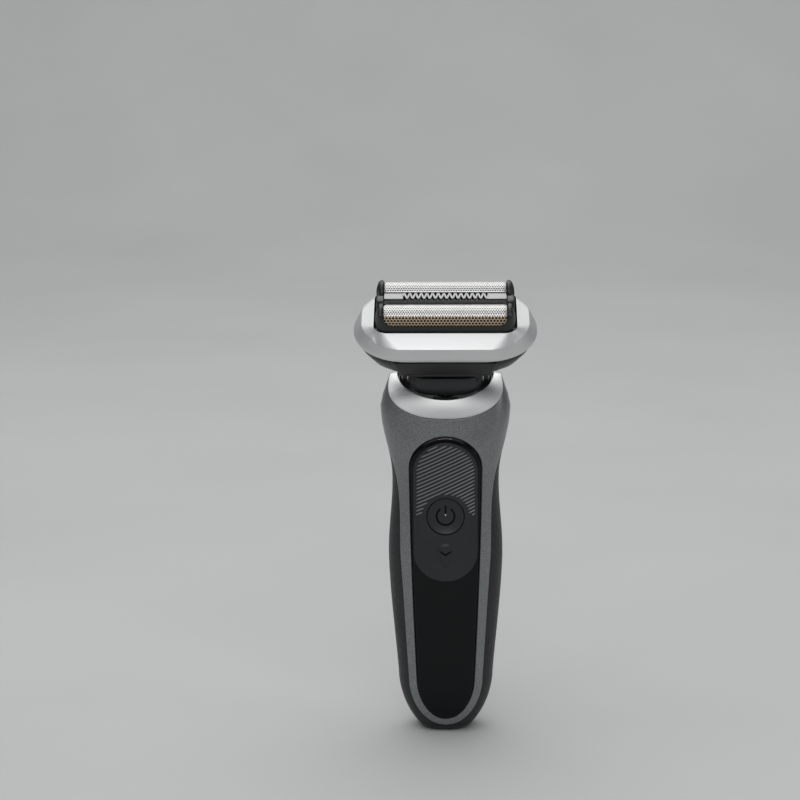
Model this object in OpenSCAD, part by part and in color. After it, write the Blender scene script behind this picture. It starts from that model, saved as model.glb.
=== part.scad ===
// Electric foil shaver: handle, tilting neck, click-on head and foil cassette.
// Z runs up the handle, -Y is the front with the power button, X is to the right.
// The origin is the middle of the power socket's mouth, in the plane of the flat foot.
// In the head's own frame, +Z runs up through the foils and the origin is the tilt centre.

/* [Handle] */
// Wall of the front and rear shells
wall = 2; // [1.6:0.1:2.4]
// Squareness of the handle's section, where 2 is an ellipse
squareness = 2.6; // [2.3:0.1:3]
// Y of the middle of the handle's section
axis_y = 0.9; // [0:0.1:1.6]
// Height where the round tail ends
tail_z = 20; // [18:0.5:22]
// Width of the handle where the tail ends
tail_w = 33.2; // [32:0.2:35]
// Depth of the handle where the tail ends
tail_d = 23.8; // [23:0.2:26]
// How much taller than its height the tail's rounding is, which leaves the flat foot
foot_cut = 2.6; // [2:0.1:3.4]
// Y of the point that the tail closes towards
foot_y = -1.4; // [-3:0.2:1]
// Height of the belly
belly_z = 62; // [58:1:66]
// Width of the belly
belly_w = 39.8; // [38:0.2:42]
// Depth of the belly
belly_d = 28.6; // [28:0.2:31]
// Height of the waist under the shoulders
waist_z = 92; // [89:1:95]
// Width of the waist
waist_w = 37.2; // [36:0.2:39]
// Depth of the waist
waist_d = 30.2; // [29:0.2:32]
// Height of the shoulders
shoulder_z = 114.5; // [112:0.5:117]
// Width of the shoulders
shoulder_w = 44.9; // [43:0.2:47]
// Depth of the shoulders
shoulder_d = 32.4; // [31.5:0.2:34]
// Height of the rim at the two sides
rim_z = 126; // [125.6:0.1:126.2]
// Width of the handle at the rim
rim_w = 38.5; // [38:0.2:40]
// Depth of the handle at the rim
rim_d = 31; // [30.5:0.2:32]
// How far the rim dips at the front
rim_dip_front = 13.2; // [12:0.2:14]
// How far the rim dips at the back
rim_dip_back = 4; // [3.6:0.2:5]

/* [Seam between the shells] */
// Height of the bottom cap
cap_h = 2.4; // [2:0.1:3]
// Angle of the seam from the front along the lower handle
seam_low = 46.5; // [44:0.5:49]
// Angle of the seam at the waist
seam_waist = 64; // [60:1:68]
// Angle of the seam at the rim
seam_rim = 116; // [112:1:120]
// Gap between pieces that touch along a seam
seam_gap = 0.1; // [0.05:0.05:0.2]

/* [Front panel] */
// Height of the panel's lower end
panel_z0 = 4.8; // [4.6:0.1:6]
// Height of the panel's upper end
panel_z1 = 106.9; // [105:0.1:108]
// Width of the panel at its lower end, before the end is rounded
panel_w0 = 19; // [18:0.2:20]
// Width of the panel at its upper end, before the end is rounded
panel_w1 = 25.8; // [25:0.2:27]
// How far each side of the panel bows out half way up
panel_bow = 0.5; // [0:0.1:1]
// Length of the rounding at the lower end
panel_r0 = 14; // [12:0.5:16]
// Length of the rounding at the upper end
panel_r1 = 12; // [11:0.5:13]
// Thickness of the gloss panel
panel_t = 1.8; // [1.4:0.1:2]
// Thickness of the carrier bonded behind the panel
panel_carrier_t = 1; // [0.8:0.1:1.4]
// How far the carrier reaches past the panel's edge
panel_lap = 1.6; // [1:0.1:2]

/* [Thumb pad and power button] */
// Width of the oval thumb pad
pad_w = 20.6; // [19.6:0.2:21]
// Height of the pad's lower end
pad_z0 = 56.1; // [55:0.1:58]
// Height of the pad's upper end
pad_z1 = 104.9; // [103:0.1:105]
// Thickness of the pad
pad_t = 1; // [0.8:0.1:1.2]
// Gap between the pad and the panel that it slides over
pad_gap = 0.3; // [0.25:0.05:0.4]
// How far the pad slides down to lock the head
pad_travel = 3; // [2:0.5:3.5]
// Height of the middle of the power button
button_z = 79; // [77:0.5:81]
// Radius of the power button
button_r = 6.3; // [5.8:0.1:6.8]
// How far the power button is pressed
button_travel = 0.6; // [0.4:0.1:0.8]
// Height of the small raised mark under the button
mark_z = 66; // [65:0.5:67]

/* [Collar and neck] */
// Width of the neck opening inside the collar
neck_w = 33.2; // [32.6:0.1:33.6]
// Depth of the neck opening inside the collar
neck_d = 27.2; // [26.8:0.1:27.6]
// Height of the collar's inner edge at the front
neck_z0 = 119.2; // [118.8:0.1:120]
// Height of the collar's inner edge at the sides
neck_z1 = 126.4; // [126:0.1:127]
// Thickness of the collar
collar_t = 1.6; // [1.2:0.1:2]
// Height of the neck dish's floor
dish_z = 117.8; // [117:0.1:118]
// Thickness of the neck dish
dish_t = 1.2; // [1:0.1:1.5]

/* [Tilting neck] */
// Y of the tilt centre
pivot_y = -3.9; // [-4.4:0.1:-3.4]
// Height of the tilt centre
pivot_z = 126.2; // [126:0.1:126.8]
// Forward tilt of the head at rest
head_tilt = 25; // [20:1:28]
// Radius of the tilt pins and the roll pins
pin_r = 1.2; // [1:0.1:1.3]
// Radial running clearance of the neck's pins in their bores
pin_fit = 0.05; // [0.03:0.01:0.08]
// Distance from the middle to an ear's inner face
ear_x = 13.2; // [13:0.1:13.4]
// Thickness of an ear
ear_t = 1.6; // [1.4:0.1:1.8]
// Radius of the ball on the drive pin
ball_r = 1.9; // [1.7:0.1:2]
// Running clearance of the ball in the drive fork
ball_fit = 0.05; // [0.03:0.01:0.08]
// Stroke of the drive to each side
stroke = 1; // [0.6:0.1:1.2]

/* [Head] */
// Width of the head
head_w = 62; // [60:0.5:64]
// Depth of the head
head_d = 37; // [36:0.5:38]
// Width of the opening round the foils
mouth_w = 48; // [47.6:0.2:49]
// Depth of the opening round the foils
mouth_d = 25.6; // [25.4:0.1:26.2]
// Corner radius of the opening round the foils
mouth_corner = 4.5; // [4:0.1:5]
// Clearance between the foil carriers and the ring
mouth_gap = 0.6; // [0.4:0.1:0.8]
// Height of the ring's upper edge above the tilt centre
mouth_z = 25.9; // [25:0.1:26.5]
// Height of the crease round the ring
crease_z = 22.2; // [21.8:0.1:22.8]
// Height of the ring's widest line
ring_z = 19.4; // [19:0.1:20]
// Height of the ring's lower edge
ring_z0 = 17.8; // [17.4:0.1:18.2]
// Thickness of the ring's upper edge
ring_t = 1.4; // [1.2:0.1:1.6]
// Height of the head housing's underside
housing_z0 = 5.8; // [5.4:0.1:6.4]
// Width of the head housing's underside
housing_w0 = 33; // [31:0.5:34]
// Depth of the head housing's underside
housing_d0 = 22.6; // [22:0.2:23.4]
// Length of a cassette release button
release_l = 8; // [7:0.5:9]
// Height of a cassette release button
release_h = 3.4; // [3:0.1:3.6]
// How far a release button is pressed
release_travel = 0.9; // [0.6:0.1:1]
// How far a release button stands out of the housing
release_proud = 0.6; // [0.4:0.1:1]

/* [Foil cassette] */
// Length of the exposed foils
foil_l = 41; // [40:0.5:41.5]
// Radius of a foil's arch
foil_r = 4.4; // [4.2:0.1:4.5]
// Thickness of a foil
foil_t = 0.3; // [0.25:0.05:0.35]
// Gap between a foil and the cutter block under it
cutter_gap = 0.2; // [0.15:0.05:0.25]
// Distance from the middle to the front foil's axis
foil_y_front = 7.5; // [7.4:0.1:7.6]
// Distance from the middle to the rear foil's axis
foil_y_rear = 7; // [6.9:0.1:7.1]
// Height of the foils' axes above the tilt centre
foil_z = 28.5; // [28.2:0.1:28.8]
// How far a foil or the trimmer is pushed in
float_travel = 2; // [1:0.1:2.2]
// Thickness of a carrier's end cap
end_cap_t = 2.8; // [2.4:0.1:2.9]
// Height of the cassette frame's underside
tray_z = 14.2; // [14:0.1:14.4]
// Height of the cassette frame's wall top
tray_z1 = 21.2; // [20.8:0.1:21.4]
// Thickness of the cassette frame
tray_t = 1.2; // [1:0.1:1.3]
// Width of the trimmer's metal comb, front to back
comb_d = 4.6; // [4:0.1:4.7]
// Distance between the comb's teeth
tooth_pitch = 1.9; // [1.6:0.1:2.2]
// Length of the toothed stretch of the comb
teeth_l = 28; // [24:0.5:30]
// Clearance between parts that slide in each other
slide_gap = 0.3; // [0.25:0.05:0.35]
// Radius of a spring's wire
wire_r = 0.25; // [0.2:0.05:0.3]
// Thickness of the ribs of a cutter block
rib_t = 0.6; // [0.4:0.1:0.8]
// Distance between the ribs of a cutter block
rib_pitch = 1.5; // [1.2:0.1:2]

/* [Inside the handle] */
// Radius of the battery cell
battery_r = 7; // [6.5:0.1:7.2]
// Length of the battery cell
battery_l = 48; // [45:0.5:50]
// Height of the battery's lower end
battery_z = 22; // [21:0.5:24]
// Width of the motor
motor_w = 25; // [22:0.5:26]
// Depth of the motor
motor_d = 13; // [12:0.5:13.5]
// Height of the motor
motor_h = 26; // [24:0.5:27]
// Thickness of the circuit board and the display board
board_t = 1; // [0.8:0.1:1.2]
// Thickness of the chassis walls
chassis_t = 1.4; // [1.2:0.1:1.6]
// Width of the power socket's opening
socket_w = 9; // [8.4:0.2:9.6]
// Depth of the power socket's opening, front to back
socket_d = 6; // [5.4:0.2:6.4]
// Wall of the power socket
socket_wall = 0.9; // [0.8:0.1:1.1]
// Length of the power socket
socket_h = 11; // [9:0.5:12]

/* [Hidden] */
$fn = 48;
e = 0.01; // overlap that joins two pieces of one solid
through = 60; // length of a cut that passes right through

// The handle's stations: height, half width, half depth, seam angle
STATIONS = [
    [tail_z, tail_w/2, tail_d/2, seam_low],
    [belly_z, belly_w/2, belly_d/2, seam_low],
    [waist_z, waist_w/2, waist_d/2, seam_waist],
    [shoulder_z, shoulder_w/2, shoulder_d/2, seam_rim],
    [rim_z, rim_w/2, rim_d/2, seam_rim]];

// Places that follow from the sizes above
socket_corner = 1.2;
socket_floor = 1.5;
socket_pin_z = 5;
socket_pin_r = 0.8;
seal_w = 1.1;
seal_h = 1;
contact_x = [-5, 5];
contact_z = battery_z + 4;
contact_r = 1.8;
stem_z = [(pad_z0 + button_z - button_r)/2 - 2, (pad_z1 + button_z + button_r)/2 + 1];
stem_r = 1.6;
plunger_r = 1.5;

// Neck
collar_end = 102;
collar_crown = 0.35;
collar_edge = 0.35;
neck_square = 2.3;
neck_back_dip = 3.6;
dish_in = 1.2;
ear_wall = 1;
ear_foot = 1.5;
shaft_r = 1.5;
seal_bore = shaft_r + stroke + 0.6;
frame_x = ear_x - 0.6;
frame_y = 7.2;
frame_h = 3.2;
frame_corner = 5.4;
apron_t = 1;
apron_up = 26; // angles to which the apron reaches above and below the frame's front
apron_down = 22;
// The apron's outline: distance from the middle, radius about the pitch axis
APRON = [[0, frame_y + apron_t], [4, frame_y + 0.9*apron_t], [7, frame_y + 0.6*apron_t],
    [9, frame_y], [10.4, frame_y - 0.8]];
yoke_y = frame_y - 2 - slide_gap;
yoke_h = frame_h - 0.2;
plug_x = 8.5;
plug_y = 4.2;
plug_z = housing_z0 + 4.4;
fork_x = ball_r + 1.4;
fork_y = 1.8;
plug_bay_x = fork_x + stroke + 0.4; // room for the fork and the ball-ended pin in the coupling
plug_bay_y = plug_y - 0.9;
plug_bay_z = 2.2;

// Inside the handle, front to back
battery_y = axis_y + 1.5;
motor_y = axis_y + 1.2;
plate_y = battery_y + battery_r + 0.2;
board_y = battery_y - battery_r - 0.4 - board_t;
board_w = 17;
display_y = board_y - 0.5 - board_t;
display_w = 13;
lamp_w = 2;
lamp_t = 0.5;
switch_y = board_y - 2.1;
switch_w = 6;
link_t = 0.8;
link_w = 6.8;
link_foot = 3;
link_y = front_y(belly_z) + wall + 0.05 + panel_carrier_t + 0.6;
cheek_x = battery_r + 0.4;
motor_x = motor_w/2 + 0.1;
screw_r = 1.2;
plate_x = 9;
plate_z0 = 46;
shelf_z = battery_z + battery_l + 0.6;
motor_z = shelf_z + chassis_t + 0.1;
shelf_top = motor_z + motor_h + 4;
bay_y = [motor_y - motor_d/2 + 1.5, motor_y + motor_d/2 - 2];
bay_z = motor_z + 6;
armature_w = 16;
armature_z1 = motor_z + motor_h - 4;
shaft_back = 3;
shaft_foot_h = 1.6;
shaft_turn_z = dish_z - dish_t - 4;
shaft_z1 = pivot_z - 4.2;
ball_neck_r = 0.9;
link_z1 = shaft_turn_z;
leg_x = 10;
leg_w = 2.4;
shelf_cut = 4;
screw_x = 7;
screw_rise = 14;
screw_spots = [for (x = [-screw_x, screw_x], z = [bay_z, bay_z + screw_rise]) [x, z]];
screw_head_h = 1;

// Head
crease_w = lerp(mouth_w, head_w, 0.53);
crease_d = lerp(mouth_d, head_d, 0.79);
crease_corner = 12;
ring_corner = head_d/2 - 0.6;
well_z = tray_z - slide_gap;
// The housing's outlines from its underside up: height, width, depth, corner radius
HOUSING = [
    [housing_z0, housing_w0, housing_d0, 8],
    [housing_z0 + 0.8, housing_w0 + 1.6, housing_d0 + 1.6, 8.6],
    [housing_z0 + 3, housing_w0 + 6.4, housing_d0 + 5, 9.6],
    [housing_z0 + 6.4, housing_w0 + 17, housing_d0 + 8.6, 11],
    [ring_z0 - 2, head_w - 5, head_d - 2.8, 14.4],
    [ring_z0 - seam_gap, head_w - 1.4, head_d - 1.2, ring_corner]];
plug_gap = 0.2;
cavity_w = housing_w0 - 1;
cavity_d = 2*(foil_y_front + fork_y) + plug_gap;
cavity_z = housing_z0 + 2;
release_z = well_z + 1.3;
release_x = mouth_w/2 + release_travel;
bridge_z = plug_z + 0.4;
bridge_t = 1.8;
drive_pin_z = 24.6;

// Cassette
cap_x = foil_l/2 + 0.1;
skirt_z = tray_z1 + float_travel + 0.8;
skirt_x = mouth_w/2 - 2.4;
skirt_y = foil_r - 2;
bar_z = tray_z1 - 0.2;
bar_t = 1.1;
bar_end = 1.8;
skirt_t = 1.6;
spring_x = 16;
cutter_x = foil_l/2 - stroke - 1.5;
cutter_z = bar_z + bar_t + 0.4;
pin_bore_h = drive_pin_z - cutter_z + 1 + float_travel + slide_gap; // from 1 under the cutter
cutter_half = 2.4;
ribs = floor((cutter_x - 1)/rib_pitch);
trim_y = (foil_y_rear - foil_y_front)/2;
guard_x = foil_l/2 - 0.1;
guard_y = 1.9;
guard_t = 0.6;
comb_z = foil_z + 3.1;
comb_t = 0.5;
comb_teeth = floor(teeth_l/tooth_pitch/2);
blade_z = comb_z - 3;
blade_half = 1;
pin_thin = 0.5;
drive_pins = [[-foil_y_front, pin_r], [foil_y_rear, pin_r], [trim_y, pin_thin]];

charcoal = [0.10, 0.10, 0.11];
grey_paint = [0.42, 0.43, 0.44];
satin = [0.82, 0.82, 0.81];
steel = [0.70, 0.71, 0.72];

// ---- outlines and skins -------------------------------------------------------------

function lerp(a, b, t) = a + (b - a)*t;
function signed_pow(v, p) = sign(v)*pow(abs(v), p);
function station_of(z, i = 0) =
    (i >= len(STATIONS) - 2 || z < STATIONS[i + 1][0]) ? i : station_of(z, i + 1);
function slope_at(i, c) =
    let (a = STATIONS[max(i - 1, 0)], b = STATIONS[min(i + 1, len(STATIONS) - 1)])
    (b[c] - a[c])/(b[0] - a[0]);
// Smooth curve through the stations' column c
function along(z, c) =
    let (i = station_of(z), s = STATIONS[i], n = STATIONS[i + 1], h = n[0] - s[0], t = (z - s[0])/h)
    s[c]*(1 - 3*t*t + 2*t*t*t) + n[c]*(3*t*t - 2*t*t*t)
    + h*slope_at(i, c)*(t - 2*t*t + t*t*t) + h*slope_at(i + 1, c)*(t*t*t - t*t);
// Share of its full width that the tail has at height z
function tail_share(z) =
    z >= tail_z ? 1 : sqrt(1 - pow((tail_z - z)/(tail_z + foot_cut), 1.8));
function tail_share_d(z) = pow(tail_share(z), 0.6);
function half_w(z) = along(max(z, tail_z), 1)*tail_share(z);
function half_d(z) = along(max(z, tail_z), 2)*tail_share_d(z);
function mid_y(z) = lerp(foot_y, axis_y, tail_share_d(z));
// Point of the handle's skin at angle a from the front, height z and depth inset under the skin
function skin(a, z, inset = 0) =
    [(half_w(z) - inset)*signed_pow(sin(a), 2/squareness),
     mid_y(z) - (half_d(z) - inset)*signed_pow(cos(a), 2/squareness), z];
// Angle at which the skin is x from the middle plane
function angle_at(x, z) = sign(x)*asin(min(1, pow(abs(x)/half_w(z), squareness/2)));

// Seam between the shells: angle at height z, and height at angle a round the tail
seam_z0 = cap_h + seam_gap;
seam_x = skin(seam_low, tail_z)[0]; // half width of the round end that the seam makes at the tail
function seam_tail(t) = // t runs 0 to 1 from the middle up to the end of the tail
    let (z = lerp(seam_z0, tail_z, 1 - cos(90*t))) [angle_at(seam_x*sin(90*t), z), z];

// Rim of the handle: low at the front, high at the sides
rim_z0 = rim_z - rim_dip_front;
function fold(a) = abs(a) > 180 ? 360 - abs(a) : abs(a);
function rim_height(a) =
    let (b = fold(a))
    b <= 90 ? rim_z0 + rim_dip_front*(1 - cos(b)) : rim_z - rim_dip_back*(1 - sin(b));
corner_z = rim_height(seam_rim);
// The seam's points from the middle of the tail up to the rim, angle and height
tail_steps = 10;
side_steps = 20;
SEAM = [for (k = [0:tail_steps + side_steps])
    k <= tail_steps ? seam_tail(k/tail_steps)
    : let (z = lerp(tail_z, corner_z, (k - tail_steps)/side_steps)) [along(z, 3), z]];

// Half width of the front panel's window at height z
function panel_end(t) = sqrt(max(0.012, 1 - pow(1 - min(t, 1), 2)));
function panel_half(z) =
    let (t = (z - panel_z0)/(panel_z1 - panel_z0))
    (lerp(panel_w0, panel_w1, t)/2 + panel_bow*sin(180*t))
    * panel_end((z - panel_z0)/panel_r0)*panel_end((panel_z1 - z)/panel_r1);
// Half width of the oval thumb pad at height z
pad_r = pad_w/2;
function pad_half(z) =
    z < pad_z0 + pad_r ? sqrt(max(0.3, pad_r*pad_r - pow(z - pad_z0 - pad_r, 2)))
    : z > pad_z1 - pad_r ? sqrt(max(0.3, pad_r*pad_r - pow(z - pad_z1 + pad_r, 2))) : pad_r;

function ease(t) = (1 - cos(180*t))/2;
// Half width of the head housing at height z
function housing_x(z, i = 0) =
    (i < len(HOUSING) - 2 && z > HOUSING[i + 1][0]) ? housing_x(z, i + 1)
    : let (a = HOUSING[i], b = HOUSING[i + 1]) lerp(a[1], b[1], (z - a[0])/(b[0] - a[0]))/2;
function front_y(z) = mid_y(z) - half_d(z);

// ---- solids from grids of points ----------------------------------------------------

// Closed solid between an outer and an inner grid; closed joins the last row to the first
module slab(outer, inner, closed = false) {
    n = len(outer);
    m = len(outer[0]);
    rows = closed ? n : n - 1;
    id = function(i, j, s) s*n*m + (i % n)*m + j;
    last = m - 1;
    points = concat([for (r = outer) each r], [for (r = inner) each r]);
    // the four-sided face a b c d, split along its shorter diagonal
    split = function(a, b, c, d)
        norm(points[a] - points[c]) <= norm(points[b] - points[d])
        ? [[a, b, c], [a, c, d]] : [[a, b, d], [b, c, d]];
    skin_faces = [for (i = [0:rows - 1], j = [0:m - 2])
        each split(id(i, j, 0), id(i + 1, j, 0), id(i + 1, j + 1, 0), id(i, j + 1, 0))];
    back_faces = [for (i = [0:rows - 1], j = [0:m - 2])
        each split(id(i, j, 1), id(i, j + 1, 1), id(i + 1, j + 1, 1), id(i + 1, j, 1))];
    side_faces = [for (i = [0:rows - 1])
        each concat(split(id(i + 1, 0, 0), id(i, 0, 0), id(i, 0, 1), id(i + 1, 0, 1)),
            split(id(i, last, 0), id(i + 1, last, 0), id(i + 1, last, 1), id(i, last, 1)))];
    end_faces = closed ? [] : [for (j = [0:m - 2])
        each concat(split(id(0, j, 0), id(0, j + 1, 0), id(0, j + 1, 1), id(0, j, 1)),
            split(id(n - 1, j + 1, 0), id(n - 1, j, 0), id(n - 1, j, 1), id(n - 1, j + 1, 1)))];
    polyhedron(points = points, faces = concat(skin_faces, back_faces, side_faces, end_faces));
}

// Solid through a stack of closed outlines, lowest first, each anticlockwise from above
module loft(rings) {
    n = len(rings);
    m = len(rings[0]);
    walls = [for (i = [0:n - 2], j = [0:m - 1], t = [0, 1])
        let (a = i*m + j, b = i*m + (j + 1) % m)
        t == 0 ? [a, a + m, b + m] : [a, b + m, b]];
    polyhedron(points = [for (r = rings) each r],
        faces = concat(walls, [[for (j = [0:m - 1]) j]],
            [[for (j = [m - 1:-1:0]) (n - 1)*m + j]]));
}

// Closed ring whose section runs once round through the outlines, bottom edge to inside
module ring_loft(rings) {
    n = len(rings);
    m = len(rings[0]);
    polyhedron(points = [for (r = rings) each r],
        faces = [for (i = [0:n - 1], j = [0:m - 1], t = [0, 1])
            let (a = i*m + j, b = i*m + (j + 1) % m, c = ((i + 1) % n)*m + j,
                 d = ((i + 1) % n)*m + (j + 1) % m)
            t == 0 ? [a, c, d] : [a, d, b]]);
}

// Outline of a rectangle with round corners, q points to a corner, at height z
function round_box(w, d, r, z, q = 8) =
    let (c = min(r, w/2 - 0.01, d/2 - 0.01))
    [for (k = [0:3], i = [0:q - 1])
        let (a = 90*k + 90*i/(q - 1), sx = (k == 0 || k == 3) ? 1 : -1, sy = k < 2 ? 1 : -1)
        [sx*(w/2 - c) + c*cos(a), sy*(d/2 - c) + c*sin(a), z]];
module round_slab(w, d, r, h) {
    linear_extrude(h)
        union() {
            square([w - 2*r, d], center = true);
            square([w, d - 2*r], center = true);
            for (x = [-1, 1], y = [-1, 1]) translate([x*(w/2 - r), y*(d/2 - r)]) circle(r);
        }
}
module block(x, y, z) { // a box between two corners on each axis
    translate([x[0], y[0], z[0]]) cube([x[1] - x[0], y[1] - y[0], z[1] - z[0]]);
}
module in_head() {
    translate([0, pivot_y, pivot_z]) rotate([head_tilt, 0, 0]) children();
}
module along_x(l) { // a profile drawn in Y and Z, run along X about the middle
    rotate([90, 0, 90]) linear_extrude(l, center = true) children();
}
module rod_x(r, x0, x1) { translate([x0, 0, 0]) rotate([0, 90, 0]) cylinder(r = r, h = x1 - x0); }
module rod_y(r, y0, y1) { translate([0, y0, 0]) rotate([-90, 0, 0]) cylinder(r = r, h = y1 - y0); }

// Compression spring standing on z0
module coil(r, wire, z0, l, turns) {
    steps = 10*turns;
    sides = 5;
    loft([for (i = [0:steps])
        let (a = 360*turns*i/steps, z = z0 + wire + (l - 2*wire)*i/steps)
        [for (j = [0:sides - 1])
            let (b = -360*j/sides)
            [(r + wire*cos(b))*cos(a), (r + wire*cos(b))*sin(a), z + wire*sin(b)]]]);
}

// ---- handle shells ------------------------------------------------------------------

module front_shell() { // runs as a ring round the panel's window
    top_steps = 12;
    arch_z = panel_z1 - panel_r1;
    turn_z = arch_z - panel_lap*4;
    side_last = tail_steps + side_steps;
    steps = side_last + top_steps;
    across = 7;
    // height of the window's point that faces the outer edge's point k
    window_z = function(k)
        k <= tail_steps ? lerp(panel_z0, tail_z, 1 - cos(90*k/tail_steps))
        : k > side_last ? lerp(arch_z, panel_z1, sin(90*(k - side_last)/top_steps))
        : let (z = SEAM[k][1], q = max(0, z - turn_z)/(corner_z - turn_z))
            min(z, lerp(turn_z, arch_z, 1 - pow(1 - q, 2)));
    window_edge = function(k) let (z = window_z(k)) [angle_at(panel_half(z), z), z];
    outer_edge = function(k)
        k <= tail_steps ? SEAM[k] + [-seam_gap, seam_gap]
        : k < side_last ? SEAM[k] - [2*seam_gap, 0]
        : let (a = (SEAM[side_last][0] - 2*seam_gap)*(steps - k)/top_steps) [a, rim_height(a) - seam_gap];
    half = function(s, inset) [for (k = [0:steps])
        let (w = k == 0 ? [0, panel_z0] : k == steps ? [0, panel_z1] : window_edge(k),
             o = k == 0 ? [0, seam_z0 + seam_gap] : outer_edge(k))
        [for (j = [0:across]) let (p = lerp(w, o, j/across)) skin(s*p[0], p[1], inset)]];
    outer = half(1, 0);
    inner = half(1, wall);
    outer_left = half(-1, 0);
    inner_left = half(-1, wall);
    color(grey_paint)
        slab(concat(outer, [for (k = [steps - 1:-1:1]) outer_left[k]]),
            concat(inner, [for (k = [steps - 1:-1:1]) inner_left[k]]), closed = true);
}

module rear_shell() { // a C in every section, open where the front shell sits
    across = 36;
    grid = function(inset) [for (p = SEAM)
        let (a0 = max(1.5, p[0]) + seam_gap, up = p[1]/corner_z)
        [for (j = [0:across])
            let (a = lerp(a0, 360 - a0, j/across),
                 dip = fold(a) > a0 ? max(0, corner_z - rim_height(max(fold(a), seam_rim))) : 0)
            skin(a, p[1] - dip*pow(up, 8), inset)]];
    color(charcoal)
        difference() {
            slab(grid(0), grid(wall));
            for (x = contact_x) translate([x, 0, contact_z]) rod_y(contact_r + seam_gap, 0, through);
        }
}

module bottom_cap() {
    rings = 6;
    around = 36;
    color(charcoal)
        difference() {
            loft([for (i = [0:rings])
                [for (j = [0:around - 1]) skin(360*j/around, cap_h*i/rings)]]);
            translate([0, 0, -1])
                round_slab(socket_w + 2*socket_wall + 2*seam_gap, socket_d + 2*socket_wall + 2*seam_gap,
                    socket_corner + socket_wall, cap_h + 2);
        }
}

module cap_seal() { // rubber band round the socket, on top of the cap
    color([0.05, 0.05, 0.05])
        difference() {
            translate([0, 0, cap_h + seam_gap])
                round_slab(socket_w + 2*socket_wall + 2*seal_w, socket_d + 2*socket_wall + 2*seal_w,
                    socket_corner + socket_wall + seal_w, seal_h);
            translate([0, 0, cap_h])
                round_slab(socket_w + 2*socket_wall + 2*seam_gap, socket_d + 2*socket_wall + 2*seam_gap,
                    socket_corner + socket_wall, 2*seal_h);
        }
}

// Grid over the front panel: rows up the handle from z0, columns across it
function panel_grid(grow, inset, rows = 22, cols = 8, z0 = panel_z0) = [for (i = [0:rows])
    let (z = lerp(z0, panel_z1, ease(i/rows)), zz = z + grow*(2*i/rows - 1),
         w = panel_half(z) + grow)
    [for (j = [0:cols]) skin(angle_at(w*(2*j/cols - 1), zz), zz, inset)]];

// Upright slot with round ends through the panel, for a stem that moves down by the travel
module panel_slot(r, z) {
    hull()
        for (dz = [0, -pad_travel])
            translate([0, front_y(z) - 3, z + dz]) rod_y(r + slide_gap, 0, 12);
}
module panel_slots() {
    for (z = stem_z) panel_slot(stem_r, z);
    panel_slot(plunger_r, button_z);
}

module front_panel() {
    color([0.02, 0.02, 0.03])
        difference() {
            slab(panel_grid(-seam_gap, 0.05), panel_grid(-seam_gap, panel_t));
            panel_slots();
        }
}

module panel_carrier() {
    color([0.15, 0.15, 0.16])
        difference() {
            slab(panel_grid(panel_lap, wall + 0.05, 16, 6, panel_z0 + 3),
                panel_grid(panel_lap, wall + 0.05 + panel_carrier_t, 16, 6, panel_z0 + 3));
            panel_slots();
        }
}

// ---- collar and neck ----------------------------------------------------------------

function neck_edge(a, shrink, drop) = // inner edge of the collar
    let (b = fold(a), u = b <= 90 ? pow(1 - cos(b), 0.8) : 1,
         z = lerp(neck_z0, neck_z1, u) - (b > 90 ? neck_back_dip*(1 - sin(b)) : 0))
    [(neck_w/2 - shrink)*signed_pow(sin(a), 2/neck_square),
     axis_y - (neck_d/2 - shrink)*signed_pow(cos(a), 2/neck_square), z - drop];

// Band from the handle's rim to the neck opening, between two angles; it rests on the rim
module collar_band(a0, a1, steps) {
    section = function(a)
        let (z = rim_height(a) + seam_gap, o = skin(a, z), n = neck_edge(a, 0, 0),
             crown = [o[0], o[1] - axis_y, 0]*collar_crown/half_w(z) + [0, 0, collar_crown],
             seat = skin(a, z, wall + seam_gap), n2 = neck_edge(a, 0, collar_t))
        [[o, lerp(o, n, 1/3) + crown, lerp(o, n, 2/3) + crown, n],
         [skin(a, z, collar_edge), seat, lerp(seat, n2, 0.5), n2]];
    rows = [for (i = [0:steps]) section(lerp(a0, a1, i/steps))];
    slab([for (r = [0:3]) [for (s = rows) s[0][r]]], [for (r = [0:3]) [for (s = rows) s[1][r]]]);
}
module collar_front() { color(satin) collar_band(-collar_end, collar_end, 40); }
module collar_back() { color(charcoal) collar_band(collar_end + 0.5, 359.5 - collar_end, 28); }

// Dish under the collar, with the two ears that carry the tilt pins
module neck_dish() {
    around = 40;
    low = function(inset, z) [for (j = [0:around - 1])
        let (p = neck_edge(360*j/around, dish_in + inset, 0)) [p[0], p[1], z]];
    rim = function(inset) [for (j = [0:around - 1]) neck_edge(360*j/around, slide_gap + inset, 0.4)];
    color(charcoal)
        difference() {
            union() {
                loft([low(0, dish_z - dish_t), rim(0), rim(dish_t), low(dish_t, dish_z)]);
                for (s = [-1, 1]) ear(s);
            }
            translate([0, pivot_y, dish_z - 5]) cylinder(r = seal_bore, h = 10);
            translate([0, pivot_y, pivot_z]) rod_x(pin_r + pin_fit, -through, through);
        }
}
module ear(s) {
    x0 = s > 0 ? ear_x : -ear_x - ear_t;
    hull() {
        translate([0, pivot_y, pivot_z]) rod_x(pin_r + ear_wall, x0, x0 + ear_t);
        block([x0, x0 + ear_t], [pivot_y - ear_foot, pivot_y + ear_foot], [dish_z - dish_t, dish_z]);
    }
}
module pin_seal() {
    color([0.06, 0.06, 0.06])
        translate([0, pivot_y, dish_z])
            rotate_extrude()
                polygon([[seal_bore + 0.4, 0], [seal_bore + 1.8, 0], [seal_bore + 1.2, 1],
                    [seal_bore + 0.5, 1.4], [seal_bore - 0.2, 1.4], [seal_bore - 0.2, 0.7]]);
}

// ---- inside the handle --------------------------------------------------------------

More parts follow.
